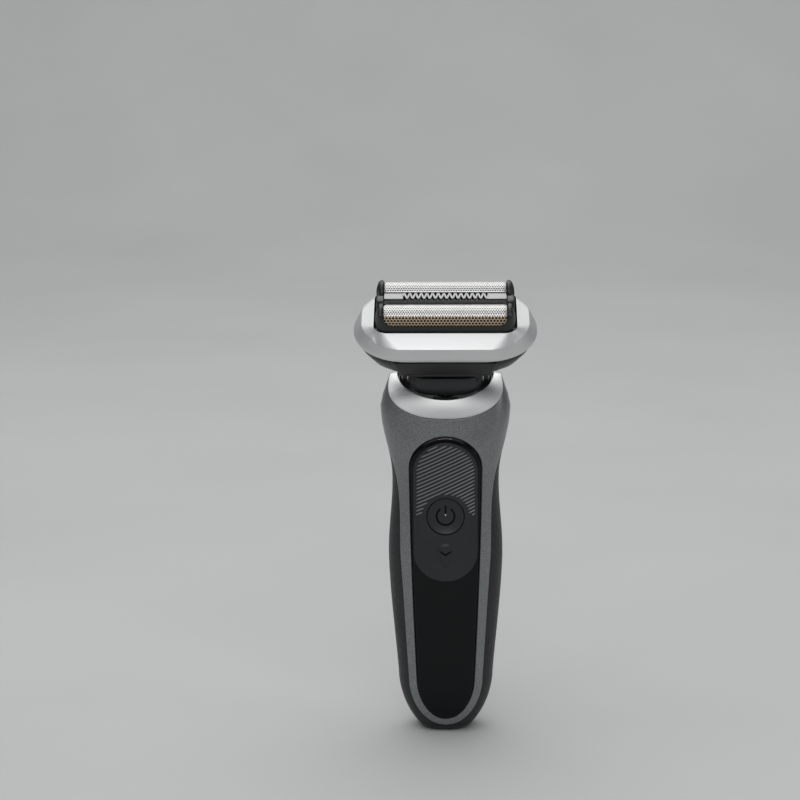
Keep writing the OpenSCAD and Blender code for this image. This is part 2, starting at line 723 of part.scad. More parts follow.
module chassis() {
    color([0.2, 0.2, 0.22])
        difference() {
            union() {
                block([-plate_x, plate_x], [plate_y, plate_y + chassis_t], [plate_z0, shelf_top]);
                // cheeks beside the battery, from the socket's shelf to the motor's
                for (s = [-1, 1])
                    block(s > 0 ? [cheek_x, cheek_x + chassis_t] : [-cheek_x - chassis_t, -cheek_x],
                        [board_y + board_t + 0.6, battery_y + 5], [socket_h + seam_gap, shelf_z + e]);
                for (z = [socket_h + seam_gap, battery_z - slide_gap - chassis_t])
                    block([-cheek_x - e, cheek_x + e], [board_y + board_t + 0.6, battery_y + 5],
                        [z, z + chassis_t]);
                // shelves under and over the motor
                for (z = [shelf_z, shelf_top - chassis_t])
                    block([-motor_x - chassis_t, motor_x + chassis_t], [board_y + board_t, plate_y + e],
                        [z, z + chassis_t]);
                // cheeks beside the motor
                for (s = [-1, 1])
                    block(s > 0 ? [motor_x, motor_x + chassis_t] : [-motor_x - chassis_t, -motor_x],
                        [motor_y - motor_d/2, plate_y], [shelf_z + e, shelf_top - e]);
                // legs up to the neck dish
                for (s = [-1, 1])
                    block(s > 0 ? [leg_x, leg_x + leg_w] : [-leg_x - leg_w, -leg_x],
                        [pivot_y + 2, plate_y - 1], [shelf_top - e, dish_z - dish_t]);
            }
            translate([0, pivot_y + shaft_back, shelf_top - shelf_cut])
                cylinder(r = shaft_r + stroke + 1, h = 2*shelf_cut);
            for (p = screw_spots) translate([p[0], plate_y - 1, p[1]]) rod_y(screw_r + 0.1, 0, through);
        }
}
module chassis_screws() {
    color(steel)
        for (p = screw_spots)
            translate([p[0], 0, p[1]]) {
                rod_y(screw_r, bay_y[1], plate_y + chassis_t);
                difference() {
                    rod_y(screw_r*1.9, plate_y + chassis_t, plate_y + chassis_t + screw_head_h);
                    rod_y(screw_r*0.8, plate_y + chassis_t + screw_head_h/2, through);
                }
            }
}
module battery_cell() {
    color([0.25, 0.45, 0.7])
        translate([0, battery_y, battery_z]) {
            cylinder(r = battery_r, h = battery_l - 1.2);
            cylinder(r = 2.6, h = battery_l);
        }
}
module circuit_board() {
    color([0.05, 0.35, 0.15])
        block([-board_w/2, board_w/2], [board_y, board_y + board_t], [battery_z, armature_z1 + 4]);
}
// The display starts where it has room behind the panel's carrier
function carrier_back(x, z) = skin(angle_at(x, z), z, wall + 0.05 + panel_carrier_t)[1];
display_z0 = min([for (z = [contact_z:0.5:pad_z0 - 2 - 10*lamp_w])
    if (carrier_back(display_w/2, z) + seam_gap < display_y) z]);
module display_board() {
    color([0.05, 0.3, 0.2])
        block([-display_w/2, display_w/2], [display_y, display_y + board_t], [display_z0, pad_z0 - 2]);
    color([0.8, 0.8, 0.8]) // lamps
        for (z = [display_z0 + 2*lamp_w:2.5*lamp_w:pad_z0 - 2 - 1.5*lamp_w])
            block([-lamp_w/2, lamp_w/2], [display_y - lamp_t, display_y], [z, z + lamp_w]);
    color([0.05, 0.3, 0.2]) // spacer that carries it on the circuit board
        block([-display_w/4, display_w/4], [display_y + board_t, board_y],
            [display_z0 + 2*lamp_w, display_z0 + 9*lamp_w]);
}
module push_switch() {
    color([0.75, 0.75, 0.75])
        block([-switch_w/2, switch_w/2], [switch_y, board_y],
            [button_z - pad_travel - plunger_r - 1, button_z + plunger_r + 1]);
}
module motor_housing() {
    color([0.55, 0.56, 0.58])
        difference() {
            block([-motor_w/2, motor_w/2], [motor_y - motor_d/2, motor_y + motor_d/2],
                [motor_z, motor_z + motor_h]);
            // bay that the armature swings in, open at the top
            block([-armature_w/2 - stroke - slide_gap, armature_w/2 + stroke + slide_gap],
                bay_y, [bay_z, motor_z + motor_h + 1]);
            for (p = screw_spots) translate([p[0], bay_y[1], p[1]]) rod_y(screw_r, 0, 6);
        }
}
module motor_armature() {
    color(steel) {
        block([-armature_w/2, armature_w/2], [bay_y[0] + slide_gap, bay_y[1] - slide_gap],
            [bay_z + slide_gap, armature_z1]);
        translate([0, pivot_y + shaft_back, armature_z1 - e])
            cylinder(r = shaft_r, h = shaft_turn_z - armature_z1);
        hull() // foot that steps the shaft forward to the tilt centre
            for (y = [pivot_y, pivot_y + shaft_back])
                translate([0, y, shaft_turn_z - shaft_foot_h]) cylinder(r = shaft_r, h = shaft_foot_h);
        translate([0, pivot_y, shaft_turn_z - e]) cylinder(r = shaft_r, h = shaft_z1 - shaft_turn_z);
        translate([0, pivot_y, shaft_z1 - 2*e]) cylinder(r = ball_neck_r, h = pivot_z - shaft_z1);
        translate([0, pivot_y, pivot_z]) sphere(r = ball_r);
    }
}
module power_socket() {
    color([0.12, 0.12, 0.12])
        difference() {
            round_slab(socket_w + 2*socket_wall, socket_d + 2*socket_wall,
                socket_corner + socket_wall, socket_h);
            translate([0, 0, -1])
                round_slab(socket_w, socket_d, socket_corner, socket_h - socket_floor + 1);
            for (s = [-1, 1]) translate([s*socket_w/4, 0, 0]) cylinder(r = socket_pin_r, h = through);
        }
}
module socket_pins() {
    color(steel)
        for (s = [-1, 1])
            translate([s*socket_w/4, 0, socket_pin_z])
                cylinder(r = socket_pin_r, h = socket_h - socket_pin_z);
}
module charging_contacts() {
    color([0.8, 0.7, 0.4])
        for (x = contact_x)
            let (y = 2*mid_y(contact_z) - skin(angle_at(x, contact_z), contact_z)[1])
                translate([x, 0, contact_z]) rod_y(contact_r, y - wall - 0.8, y - 0.1);
}

// ---- thumb pad and power button -----------------------------------------------------

function pad_grid(inset, rows = 20, cols = 8) = [for (i = [0:rows])
    let (z = lerp(pad_z0, pad_z1, ease(i/rows)))
    [for (j = [0:cols]) skin(angle_at(pad_half(z)*(2*j/cols - 1), z), z, inset)]];

module lock_slider() {
    color([0.16, 0.16, 0.17])
        difference() {
            union() {
                slab(pad_grid(-pad_gap - pad_t), pad_grid(-pad_gap));
                for (z = stem_z)
                    translate([0, 0, z]) rod_y(stem_r, front_y(z) - pad_gap - pad_t/2, link_y);
                hull() { // raised mark, a small teardrop
                    translate([0, front_y(mark_z) - pad_gap - pad_t - 0.5, mark_z + 0.6]) rod_y(2.2, 0, 1);
                    translate([0, front_y(mark_z) - pad_gap - pad_t - 0.2, mark_z - 2]) rod_y(1.1, 0, 1);
                }
            }
            translate([0, 0, button_z]) rod_y(button_r + slide_gap, -through, 0);
        }
}
module lock_link() { // strip behind the panel that carries the slide up to the neck
    color(steel)
        difference() {
            block([-link_w/2, link_w/2], [link_y, link_y + link_t], [stem_z[0] - link_foot, link_z1]);
            translate([0, 0, button_z]) rod_y(plunger_r + slide_gap, -through, 0);
        }
}
module power_button() {
    face = front_y(button_z) - pad_gap - pad_t;
    color([0.14, 0.14, 0.15]) {
        translate([0, face, button_z])
            rotate([-90, 0, 0])
                rotate_extrude()
                    polygon([[0, -0.15], [3.4, -0.25], [5.2, -0.5], [button_r - 0.4, -0.6],
                        [button_r, -0.3], [button_r, pad_t - 0.4], [0, pad_t - 0.4]]);
        translate([0, 0, button_z])
            rod_y(plunger_r, face + pad_t - 0.4 - e, switch_y - slide_gap - button_travel);
    }
}

// ---- tilting neck -------------------------------------------------------------------

module tilt_frame() {
    color([0.2, 0.2, 0.21])
        in_head()
            difference() {
                translate([0, 0, -frame_h/2])
                    difference() {
                        round_slab(2*frame_x, 2*frame_y, frame_corner, frame_h);
                        translate([0, 0, -1])
                            round_slab(2*frame_x - 5.2, 2*frame_y - 4, 1, frame_h + 2);
                    }
                rod_x(pin_r, -through, through);
                rod_y(pin_r, -through, through);
            }
    color([0.2, 0.2, 0.21]) // curved apron that hides the drive shaft at every pitch
        in_head()
            rotate([0, 90, 0])
                rotate([0, 0, -90 - apron_up])
                    rotate_extrude(angle = apron_up + apron_down)
                        polygon(concat(
                            [for (i = [len(APRON) - 1:-1:0]) [APRON[i][1], -APRON[i][0]]],
                            [for (i = [1:len(APRON) - 1]) [APRON[i][1], APRON[i][0]]],
                            [for (i = [len(APRON) - 1:-1:0]) [APRON[i][1] - apron_t, APRON[i][0]]],
                            [for (i = [1:len(APRON) - 1]) [APRON[i][1] - apron_t, -APRON[i][0]]]));
}
module tilt_pins() {
    color([0.9, 0.9, 0.9])
        in_head()
            for (s = [-1, 1])
                rod_x(pin_r, s > 0 ? frame_x - 2 : -ear_x - ear_t - 0.2,
                    s > 0 ? ear_x + ear_t + 0.2 : 2 - frame_x);
}
module roll_pins() {
    color([0.9, 0.9, 0.9])
        in_head()
            for (s = [-1, 1])
                rod_y(pin_r, s > 0 ? yoke_y - 1.8 : -frame_y + 0.1, s > 0 ? frame_y - 0.1 : 1.8 - yoke_y);
}
module head_coupling() {
    color([0.25, 0.25, 0.26])
        in_head()
            difference() {
                union() {
                    block([-plug_x, plug_x], [-yoke_y, yoke_y], [-yoke_h/2, yoke_h/2]);
                    block([-plug_x, plug_x], [-plug_y, plug_y], [0, plug_z]);
                }
                block([-plug_bay_x, plug_bay_x], [-plug_bay_y, plug_bay_y], [-through, plug_bay_z]);
                block([-plug_bay_x, plug_bay_x],
                    [-fork_y - slide_gap, fork_y + slide_gap], [-through, plug_z + 1]);
                rod_y(pin_r + pin_fit, -through, -fork_y - slide_gap);
                rod_y(pin_r + pin_fit, fork_y + slide_gap, through);
            }
}

// ---- head ---------------------------------------------------------------------------

module head_ring() {
    color(satin)
        in_head()
            ring_loft([
                round_box(head_w - 0.6, head_d - 0.4, ring_corner - 0.3, ring_z0, 12),
                round_box(head_w, head_d, ring_corner, ring_z, 12),
                round_box(crease_w, crease_d, crease_corner, crease_z, 12),
                round_box(mouth_w, mouth_d, mouth_corner, mouth_z, 12),
                round_box(mouth_w, mouth_d, mouth_corner, mouth_z - ring_t, 12),
                round_box(crease_w - 2*ring_t, crease_d - 2.6*ring_t, crease_corner - 3,
                    crease_z - ring_t, 12),
                round_box(head_w - 5, head_d - 4.4, ring_corner - 3, ring_z0, 12)]);
}
module head_housing() {
    color(charcoal)
        in_head()
            difference() {
                loft([for (h = HOUSING) round_box(h[1], h[2], h[3], h[0], 12)]);
                translate([0, 0, well_z]) round_slab(mouth_w, mouth_d, mouth_corner, through);
                translate([0, 0, cavity_z]) round_slab(cavity_w, cavity_d, 5, through);
                block([-plug_x - plug_gap, plug_x + plug_gap], [-plug_y - plug_gap, plug_y + plug_gap],
                    [0, cavity_z + e]);
                for (s = [-1, 1])
                    block(s > 0 ? [mouth_w/2 - 1, through] : [-through, 1 - mouth_w/2],
                        [-release_l/2 - plug_gap, release_l/2 + plug_gap],
                        [release_z - release_h/2 - plug_gap, release_z + release_h/2 + plug_gap]);
            }
}
module release_button(s) { // its outer face follows the housing's slope
    z = [release_z - release_h/2, release_z + release_h/2];
    color([0.18, 0.18, 0.19])
        in_head()
            rotate([90, 0, 0])
                linear_extrude(release_l, center = true)
                    polygon([[s*release_x, z[0]], [s*(housing_x(z[0]) + release_proud), z[0]],
                        [s*(housing_x(z[1]) + release_proud), z[1]], [s*release_x, z[1]]]);
}
module release_button_left() { release_button(-1); }
module release_button_right() { release_button(1); }
module drive_bridge() {
    color([0.85, 0.85, 0.82])
        in_head() {
            for (s = [-1, 1])
                block(s > 0 ? [ball_r + ball_fit, fork_x] : [-fork_x, -ball_r - ball_fit],
                    [-fork_y, fork_y], [-2, bridge_z + e]);
            block([-fork_x, fork_x], [-fork_y, fork_y], [4, bridge_z + e]);
            block([-fork_x, fork_x], [-foil_y_front - fork_y, foil_y_rear + fork_y],
                [bridge_z, bridge_z + bridge_t]);
            for (p = drive_pins)
                translate([0, p[0], bridge_z]) cylinder(r = p[1], h = drive_pin_z - bridge_z);
        }
}

// ---- cassette -----------------------------------------------------------------------

module cassette_frame() {
    color([0.13, 0.13, 0.14])
        in_head()
            difference() {
                translate([0, 0, tray_z])
                    round_slab(mouth_w - 2*slide_gap, mouth_d - 2*slide_gap, mouth_corner - slide_gap,
                        tray_z1 - tray_z);
                translate([0, 0, tray_z + tray_t])
                    round_slab(mouth_w - 2*slide_gap - 2*tray_t, mouth_d - 2*slide_gap - 2*tray_t,
                        mouth_corner - slide_gap - tray_t, through);
                for (p = drive_pins)
                    block([-p[1] - stroke - 0.4, p[1] + stroke + 0.4],
                        [p[0] - p[1] - 0.4, p[0] + p[1] + 0.4], [tray_z - 1, tray_z + tray_t + 1]);
            }
}

// A foil carrier about the foil's axis: two end caps, a wall along the outer side, cross bars
module carrier(y, side) {
    inner = foil_r + 0.5;
    color([0.09, 0.09, 0.10])
        in_head()
            intersection() {
                union() {
                    for (s = [-1, 1]) {
                        x0 = s > 0 ? cap_x : -cap_x - end_cap_t;
                        translate([0, y, foil_z]) rod_x(inner, x0, x0 + end_cap_t);
                        block([x0, x0 + end_cap_t], [y - inner, y + inner], [skirt_z, foil_z]);
                        block(s > 0 ? [skirt_x - skirt_t, skirt_x] : [-skirt_x, skirt_t - skirt_x],
                            [y - skirt_y, y + skirt_y], [bar_z, skirt_z + e]);
                        block(s > 0 ? [spring_x - bar_end, skirt_x - e] : [e - skirt_x, bar_end - spring_x],
                            [y - skirt_y + e, y + skirt_y - e], [bar_z, bar_z + bar_t]);
                    }
                    block([-cap_x - e, cap_x + e],
                        side < 0 ? [y - inner, y - foil_r - seam_gap] : [y + foil_r + seam_gap, y + inner],
                        [skirt_z, foil_z - 1.2]);
                }
                translate([0, 0, bar_z - 1]) // rounds the caps to the mouth of the ring
                    round_slab(mouth_w - 2*mouth_gap, mouth_d - 2*mouth_gap,
                        mouth_corner - mouth_gap, through);
            }
}
module foil(y) {
    color(satin)
        in_head()
            translate([0, y, foil_z])
                along_x(foil_l)
                    difference() {
                        union() {
                            circle(foil_r);
                            translate([-foil_r, skirt_z - foil_z]) square([2*foil_r, foil_z - skirt_z]);
                        }
                        circle(foil_r - foil_t);
                        translate([foil_t - foil_r, skirt_z - foil_z - 1])
                            square([2*(foil_r - foil_t), foil_z - skirt_z + 1]);
                    }
}
module cutter(y) {
    r = foil_r - foil_t - cutter_gap;
    color(steel)
        in_head()
            difference() {
                union() {
                    block([-cutter_x, cutter_x], [y - cutter_half, y + cutter_half],
                        [cutter_z, foil_z + 0.4]);
                    for (i = [-ribs:ribs])
                        translate([i*rib_pitch, y, foil_z])
                            along_x(rib_t)
                                difference() {
                                    circle(r);
                                    translate([-r, -2*r]) square([2*r, 2*r]);
                                }
                }
                translate([0, y, cutter_z - 1])
                    cylinder(r = pin_r + pin_fit, h = pin_bore_h);
            }
}
module springs(y, r) {
    color(steel)
        in_head()
            for (s = [-1, 1])
                translate([s*spring_x, y, 0])
                    coil(r, wire_r, tray_z + tray_t, bar_z - tray_z - tray_t, 4);
}
module front_carrier() { carrier(-foil_y_front, -1); }
module rear_carrier() { carrier(foil_y_rear, 1); }
module front_foil() { foil(-foil_y_front); }
module rear_foil() { foil(foil_y_rear); }
module front_cutter() { cutter(-foil_y_front); }
module rear_cutter() { cutter(foil_y_rear); }
module front_springs() { springs(-foil_y_front, 1.3); }
module rear_springs() { springs(foil_y_rear, 1.3); }

// Trimmer between the foils: black guard, metal comb on top, blade sliding inside
module trimmer_guard() {
    color([0.09, 0.09, 0.10])
        in_head()
            for (s = [-1, 1]) {
                block(s > 0 ? [guard_x - skirt_t, guard_x] : [-guard_x, skirt_t - guard_x],
                    [trim_y - guard_y, trim_y + guard_y], [bar_z, comb_z]);
                block([-guard_x, guard_x],
                    s > 0 ? [trim_y + guard_y - guard_t, trim_y + guard_y]
                        : [trim_y - guard_y, trim_y - guard_y + guard_t],
                    [skirt_z, comb_z - guard_t]);
                block(s > 0 ? [spring_x - bar_end, guard_x] : [-guard_x, bar_end - spring_x],
                    [trim_y - guard_y, trim_y + guard_y], [bar_z, bar_z + bar_t]);
                // wing between the carriers' end caps
                block(s > 0 ? [guard_x - e, mouth_w/2 - mouth_gap] : [mouth_gap - mouth_w/2, e - guard_x],
                    [trim_y - guard_y, trim_y + guard_y], [skirt_z, comb_z - guard_t]);
            }
}
module trimmer_comb() {
    color(satin)
        in_head()
            difference() {
                block([-foil_l/2, foil_l/2], [trim_y - comb_d/2, trim_y + comb_d/2],
                    [comb_z, comb_z + comb_t]);
                for (i = [-comb_teeth:comb_teeth - 1])
                    block([(i + 0.25)*tooth_pitch, (i + 0.75)*tooth_pitch],
                        [trim_y - comb_d/2 - 1, trim_y + comb_d/4], [comb_z - 1, comb_z + comb_t + 1]);
            }
}
module trimmer_blade() {
    color(steel)
        in_head()
            difference() {
                union() {
                    block([-cutter_x + 1, cutter_x - 1], [trim_y - blade_half, trim_y + blade_half],
                        [blade_z, comb_z - 0.9]);
                    block([-cutter_half, cutter_half], [trim_y - blade_half, trim_y + blade_half],
                        [cutter_z + 0.4, blade_z + e]);
                    for (i = [-comb_teeth:comb_teeth - 1])
                        block([(i + 0.3)*tooth_pitch, (i + 0.7)*tooth_pitch],
                            [trim_y - blade_half - seam_gap, trim_y + blade_half - seam_gap],
                            [comb_z - 1, comb_z - cutter_gap]);
                }
                translate([0, trim_y, cutter_z - 1])
                    cylinder(r = pin_thin + pin_fit, h = pin_bore_h);
            }
}
module trimmer_springs() { springs(trim_y, 0.9); }

front_shell();
rear_shell();
bottom_cap();
cap_seal();
front_panel();
panel_carrier();
collar_front();
collar_back();
neck_dish();
pin_seal();
chassis();
chassis_screws();
battery_cell();
circuit_board();
display_board();
push_switch();
motor_housing();
power_socket();
socket_pins();
charging_contacts();
lock_slider();
lock_link();
power_button();
motor_armature();
tilt_frame();
tilt_pins();
roll_pins();
head_coupling();
head_housing();
head_ring();
release_button_left();
release_button_right();
drive_bridge();
cassette_frame();
front_carrier();
front_foil();
front_springs();
front_cutter();
rear_carrier();
rear_foil();
rear_springs();
rear_cutter();
trimmer_guard();
trimmer_comb();
trimmer_springs();
trimmer_blade();
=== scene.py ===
from math import asin, atan2, copysign, cos, degrees, hypot, pi, radians, sin, sqrt, tan

import bmesh
import bpy
from mathutils import Matrix, Vector


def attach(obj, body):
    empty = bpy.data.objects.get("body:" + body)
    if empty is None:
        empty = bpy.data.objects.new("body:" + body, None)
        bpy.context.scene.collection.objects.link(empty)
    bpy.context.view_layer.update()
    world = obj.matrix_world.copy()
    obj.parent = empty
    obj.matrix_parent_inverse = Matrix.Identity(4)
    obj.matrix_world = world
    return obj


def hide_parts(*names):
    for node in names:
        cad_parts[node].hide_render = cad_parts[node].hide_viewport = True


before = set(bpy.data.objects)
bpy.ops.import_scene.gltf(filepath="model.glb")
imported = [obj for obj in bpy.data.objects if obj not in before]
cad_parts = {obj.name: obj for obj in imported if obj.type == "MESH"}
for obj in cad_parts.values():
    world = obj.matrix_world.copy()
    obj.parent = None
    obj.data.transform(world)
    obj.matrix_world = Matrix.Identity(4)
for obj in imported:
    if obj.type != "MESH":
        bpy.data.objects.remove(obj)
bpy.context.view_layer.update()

# New pieces are drawn in millimetres and scaled when they are finished.
# Head pieces are drawn upright round the tilt centre and leaned forward at the end.
headPlace = {"y": -3.9, "z": 126.2, "tilt": 25}
alongX = (0, radians(90), 0)
alongY = (radians(90), 0, 0)

view = {"place": (0, -0.7484, 0.2525), "down": 77, "turn": 1.185, "lift": 2.732, "lens": 99}

bpy.ops.object.camera_add(location=view["place"])
camera = bpy.context.object
camera.rotation_euler = (Matrix.Rotation(radians(view["down"]), 3, "X")
                         @ Matrix.Rotation(radians(view["turn"]), 3, "Y")
                         @ Matrix.Rotation(radians(view["lift"]), 3, "X")).to_euler()
camera.data.lens = view["lens"]
camera.data.clip_start = 0.01
bpy.context.scene.camera = camera
print("camera placed")


def useMode(mode):
    bpy.ops.object.mode_set(mode=mode)


def letGo():
    if bpy.context.mode != "OBJECT":
        useMode("OBJECT")
    bpy.ops.object.select_all(action="DESELECT")


def pickUp(piece):
    letGo()
    piece.select_set(True)
    bpy.context.view_layer.objects.active = piece


def editAll(piece, tool, **settings):
    # one edit mode tool over the whole piece
    pickUp(piece)
    useMode("EDIT")
    bpy.ops.mesh.select_all(action="SELECT")
    tool(**settings)
    useMode("OBJECT")


def mergePoints(piece, distance=0.002):
    editAll(piece, bpy.ops.mesh.remove_doubles, threshold=distance)


def faceOut(piece):
    editAll(piece, bpy.ops.mesh.normals_make_consistent, inside=False)


def closeRims(piece, tool):
    # one edit mode tool over the open rims, and the finished solid's faces turned out
    pickUp(piece)
    useMode("EDIT")
    bpy.ops.mesh.select_all(action="DESELECT")
    bpy.ops.mesh.select_non_manifold()
    tool()
    useMode("OBJECT")
    faceOut(piece)


def lookTowards(piece, x, y, z):
    # turns an open shell over if it looks the other way
    if sum(face.normal.dot((x, y, z))*face.area for face in piece.data.polygons) < 0:
        editAll(piece, bpy.ops.mesh.flip_normals)


def fixPlace():
    bpy.ops.object.transform_apply(location=True, rotation=True, scale=True)


def applyModifier(piece, kind, **settings):
    pickUp(piece)
    modifier = piece.modifiers.new(kind.title(), kind)
    for key, value in settings.items():
        setattr(modifier, key, value)
    bpy.ops.object.modifier_apply(modifier=modifier.name)


def thicken(piece, depth):
    applyModifier(piece, "SOLIDIFY", thickness=depth, offset=-1)


def roundEdges(piece, width, angle, segments=2):
    # rounds the edges that turn by more than the angle
    applyModifier(piece, "BEVEL", width=width, segments=segments, limit_method="ANGLE",
                  angle_limit=radians(angle))


def addRod(r, length, place, turn, vertices=40):
    letGo()
    bpy.ops.mesh.primitive_cylinder_add(radius=r, depth=length, vertices=vertices,
                                        location=place, rotation=turn)
    return bpy.context.object


def drill(piece, r, length, place, vertices=40):
    # a round hole from front to back
    cutter = addRod(r, length, place, alongY, vertices)
    applyModifier(piece, "BOOLEAN", operation="DIFFERENCE", object=cutter, solver="EXACT")
    bpy.data.objects.remove(cutter)


def joinAll(pieces):
    letGo()
    for piece in pieces:
        piece.select_set(True)
    bpy.context.view_layer.objects.active = pieces[0]
    bpy.ops.object.join()
    return bpy.context.object


def shapedGrid(across, up, place):
    # a grid laid over a skin: place(u, v) gives each point, u across and v up, both 0 to 1
    letGo()
    bpy.ops.mesh.primitive_grid_add(x_subdivisions=across, y_subdivisions=up, size=2)
    piece = bpy.context.object
    for point in piece.data.vertices:
        point.co = place((point.co.x + 1)/2, (point.co.y + 1)/2)
    return piece


def softBox(low, high, bevel, segments=3):
    letGo()
    bpy.ops.mesh.primitive_cube_add(size=1, location=[(a + b)/2 for a, b in zip(low, high)],
                                    scale=[b - a for a, b in zip(low, high)])
    piece = bpy.context.object
    fixPlace()
    applyModifier(piece, "BEVEL", width=bevel, segments=segments)
    return piece


def finishPiece(piece, name, body, slot, look=None, inHead=False, angle=35):
    pickUp(piece)
    piece.name = name
    piece.data.name = name
    if inHead:
        piece.rotation_euler = (radians(headPlace["tilt"]), 0, 0)
        piece.location = (0, headPlace["y"]/1000, headPlace["z"]/1000)
    piece.scale = (0.001, 0.001, 0.001)
    fixPlace()
    bpy.ops.object.shade_smooth_by_angle(angle=radians(angle))
    if not any(piece.data.materials):  # the pad brings two of its own
        piece.data.materials.clear()
        piece.data.materials.append(look or materials[slot])
    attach(piece, body)
    letGo()
    return piece


def mirrored(v):
    # a closed outline that is the same left and right: the side and the share of the way up it
    return (1, 2*v) if v <= 0.5 else (-1, 2 - 2*v)


def mix(a, b, t):
    return a + (b - a)*t


def ease(t):
    return (1 - cos(pi*t))/2


def smooth(t):
    t = min(1, max(0, t))
    return t*t*(3 - 2*t)


def startMaterial(name):
    material = bpy.data.materials.new(name)
    material.use_nodes = True
    return material, material.node_tree, material.node_tree.nodes["Principled BSDF"].inputs


def addNode(tree, kind, inputs, **settings):
    # adds a shader node, each input a plain value or another node's output
    node = tree.nodes.new("ShaderNode" + kind)
    for key, value in settings.items():
        setattr(node, key, value)
    for key, value in inputs.items():
        if isinstance(value, bpy.types.NodeSocket):
            tree.links.new(value, node.inputs[key])
        else:
            node.inputs[key].default_value = value
    return node.outputs


def noiseOf(tree, source, scale, detail=2):
    return addNode(tree, "TexNoise", {"Vector": source, "Scale": scale, "Detail": detail})["Fac"]


def rangeOf(tree, source, low, high, fromLow=0.3, fromHigh=0.7):
    return addNode(tree, "MapRange", {"Value": source, "From Min": fromLow, "From Max": fromHigh,
                                      "To Min": low, "To Max": high})["Result"]


def blendOf(tree, share, first, second):
    first, second = [(*colour, 1) if isinstance(colour, tuple) else colour for colour in (first, second)]
    return addNode(tree, "Mix", {0: share, 6: first, 7: second}, data_type="RGBA")[2]


def bumpOf(tree, height, depth):
    return addNode(tree, "Bump", {"Height": height, "Distance": depth})["Normal"]


def surface(name, look):
    # moulded, painted or plated surface: two close tones, uneven gloss and a fine grain
    material, tree, shader = startMaterial(name)
    spot = addNode(tree, "TexCoord", {})["Object"]
    broad = noiseOf(tree, spot, look.get("broad", 60), 3)
    fine = noiseOf(tree, spot, look["grain"])
    tone = rangeOf(tree, broad, 0, 1)
    if "speckle" in look:
        tone = rangeOf(tree, noiseOf(tree, spot, look["speckle"], 1), 0, 1, 0.42, 0.66)
    gloss = rangeOf(tree, fine if look.get("fineGloss") else broad, *look["gloss"])
    tree.links.new(blendOf(tree, tone, *look["tones"]), shader["Base Color"])
    tree.links.new(gloss, shader["Roughness"])
    tree.links.new(bumpOf(tree, fine, look["depth"]), shader["Normal"])
    for entry, key, usual in (("Metallic", "metal", 0), ("Specular IOR Level", "specular", 0.5),
                              ("Coat Weight", "coat", 0), ("Coat Roughness", "coatRough", 0.1)):
        shader[entry].default_value = look.get(key, usual)
    return material


finishes = {
    "grey_lacquer": {
        "tones": ((0.15, 0.16, 0.163), (0.33, 0.34, 0.345)), "grain": 5200, "speckle": 5200,
        "depth": 12e-6, "gloss": (0.36, 0.44), "metal": 0.72, "coat": 0.25, "coatRough": 0.32},
    "black_grain": {
        "tones": ((0.006, 0.007, 0.008), (0.012, 0.013, 0.014)), "grain": 1100, "depth": 12e-5,
        "gloss": (0.42, 0.6), "fineGloss": True},
    "black_plastic": {
        "tones": ((0.007, 0.007, 0.008), (0.011, 0.011, 0.012)), "grain": 3200, "depth": 6e-6,
        "gloss": (0.3, 0.38)},
    "dark_plastic": {
        "tones": ((0.022, 0.023, 0.025), (0.032, 0.033, 0.035)), "grain": 2600, "depth": 12e-6,
        "gloss": (0.45, 0.55)},
    "charcoal_plastic": {
        "tones": ((0.014, 0.016, 0.017), (0.02, 0.022, 0.023)), "grain": 2600, "depth": 12e-6,
        "gloss": (0.42, 0.52), "specular": 0.4},
    "gloss_black": {
        "tones": ((0.0012, 0.0018, 0.0024), (0.0018, 0.0024, 0.003)), "grain": 500, "depth": 3e-7,
        "gloss": (0.05, 0.08), "specular": 0.22},
    "satin_silver": {
        "tones": ((0.64, 0.65, 0.65), (0.69, 0.695, 0.69)), "grain": 4200, "depth": 4e-6,
        "gloss": (0.38, 0.43), "metal": 0.7, "broad": 40},
    "steel": {
        "tones": ((0.52, 0.53, 0.55), (0.62, 0.63, 0.64)), "grain": 3000, "depth": 4e-6,
        "gloss": (0.22, 0.34), "metal": 1},
    "comb_steel": {
        "tones": ((0.26, 0.26, 0.26), (0.31, 0.31, 0.31)), "grain": 2400, "gloss": (0.42, 0.5),
        "metal": 1, "depth": 1e-5},
    "foil_steel": {
        "tones": ((0.52, 0.52, 0.515), (0.6, 0.6, 0.59)), "grain": 3000, "depth": 3e-6,
        "gloss": (0.36, 0.44), "metal": 1},
    "black_rubber": {
        "tones": ((0.012, 0.012, 0.012), (0.018, 0.018, 0.018)), "grain": 2200, "depth": 2e-5,
        "gloss": (0.65, 0.75)},
    "battery_wrap": {
        "tones": ((0.05, 0.15, 0.34), (0.06, 0.18, 0.4)), "grain": 900, "depth": 1e-5,
        "gloss": (0.24, 0.32), "metal": 0.3},
    "green_board": {
        "tones": ((0.01, 0.085, 0.03), (0.016, 0.12, 0.045)), "grain": 1500, "depth": 1e-5,
        "gloss": (0.28, 0.4)},
    "gold_contact": {
        "tones": ((0.8, 0.58, 0.26), (0.86, 0.64, 0.3)), "grain": 3000, "depth": 4e-6,
        "gloss": (0.18, 0.26), "metal": 1},
    "white_plastic": {
        "tones": ((0.7, 0.7, 0.68), (0.76, 0.76, 0.74)), "grain": 2400, "depth": 8e-6,
        "gloss": (0.38, 0.46)},
    # steel toned dark as painted shade, for the steel parts that sit in shade inside the head and neck
    "darkened_steel": {
        "tones": ((0.1, 0.1, 0.11), (0.14, 0.14, 0.15)), "grain": 3000, "depth": 4e-6,
        "gloss": (0.34, 0.42), "metal": 1},
    "rib_grey": {
        "tones": ((0.15, 0.155, 0.155), (0.19, 0.195, 0.195)), "grain": 2600, "depth": 1e-5,
        "gloss": (0.32, 0.42)},
    "mark_black": {
        "tones": ((0.002, 0.002, 0.002), (0.004, 0.004, 0.004)), "grain": 3000, "depth": 2e-6,
        "gloss": (0.75, 0.85), "specular": 0.1}}
materials = {name: surface(name, look) for name, look in finishes.items()}
wrapScale = 50


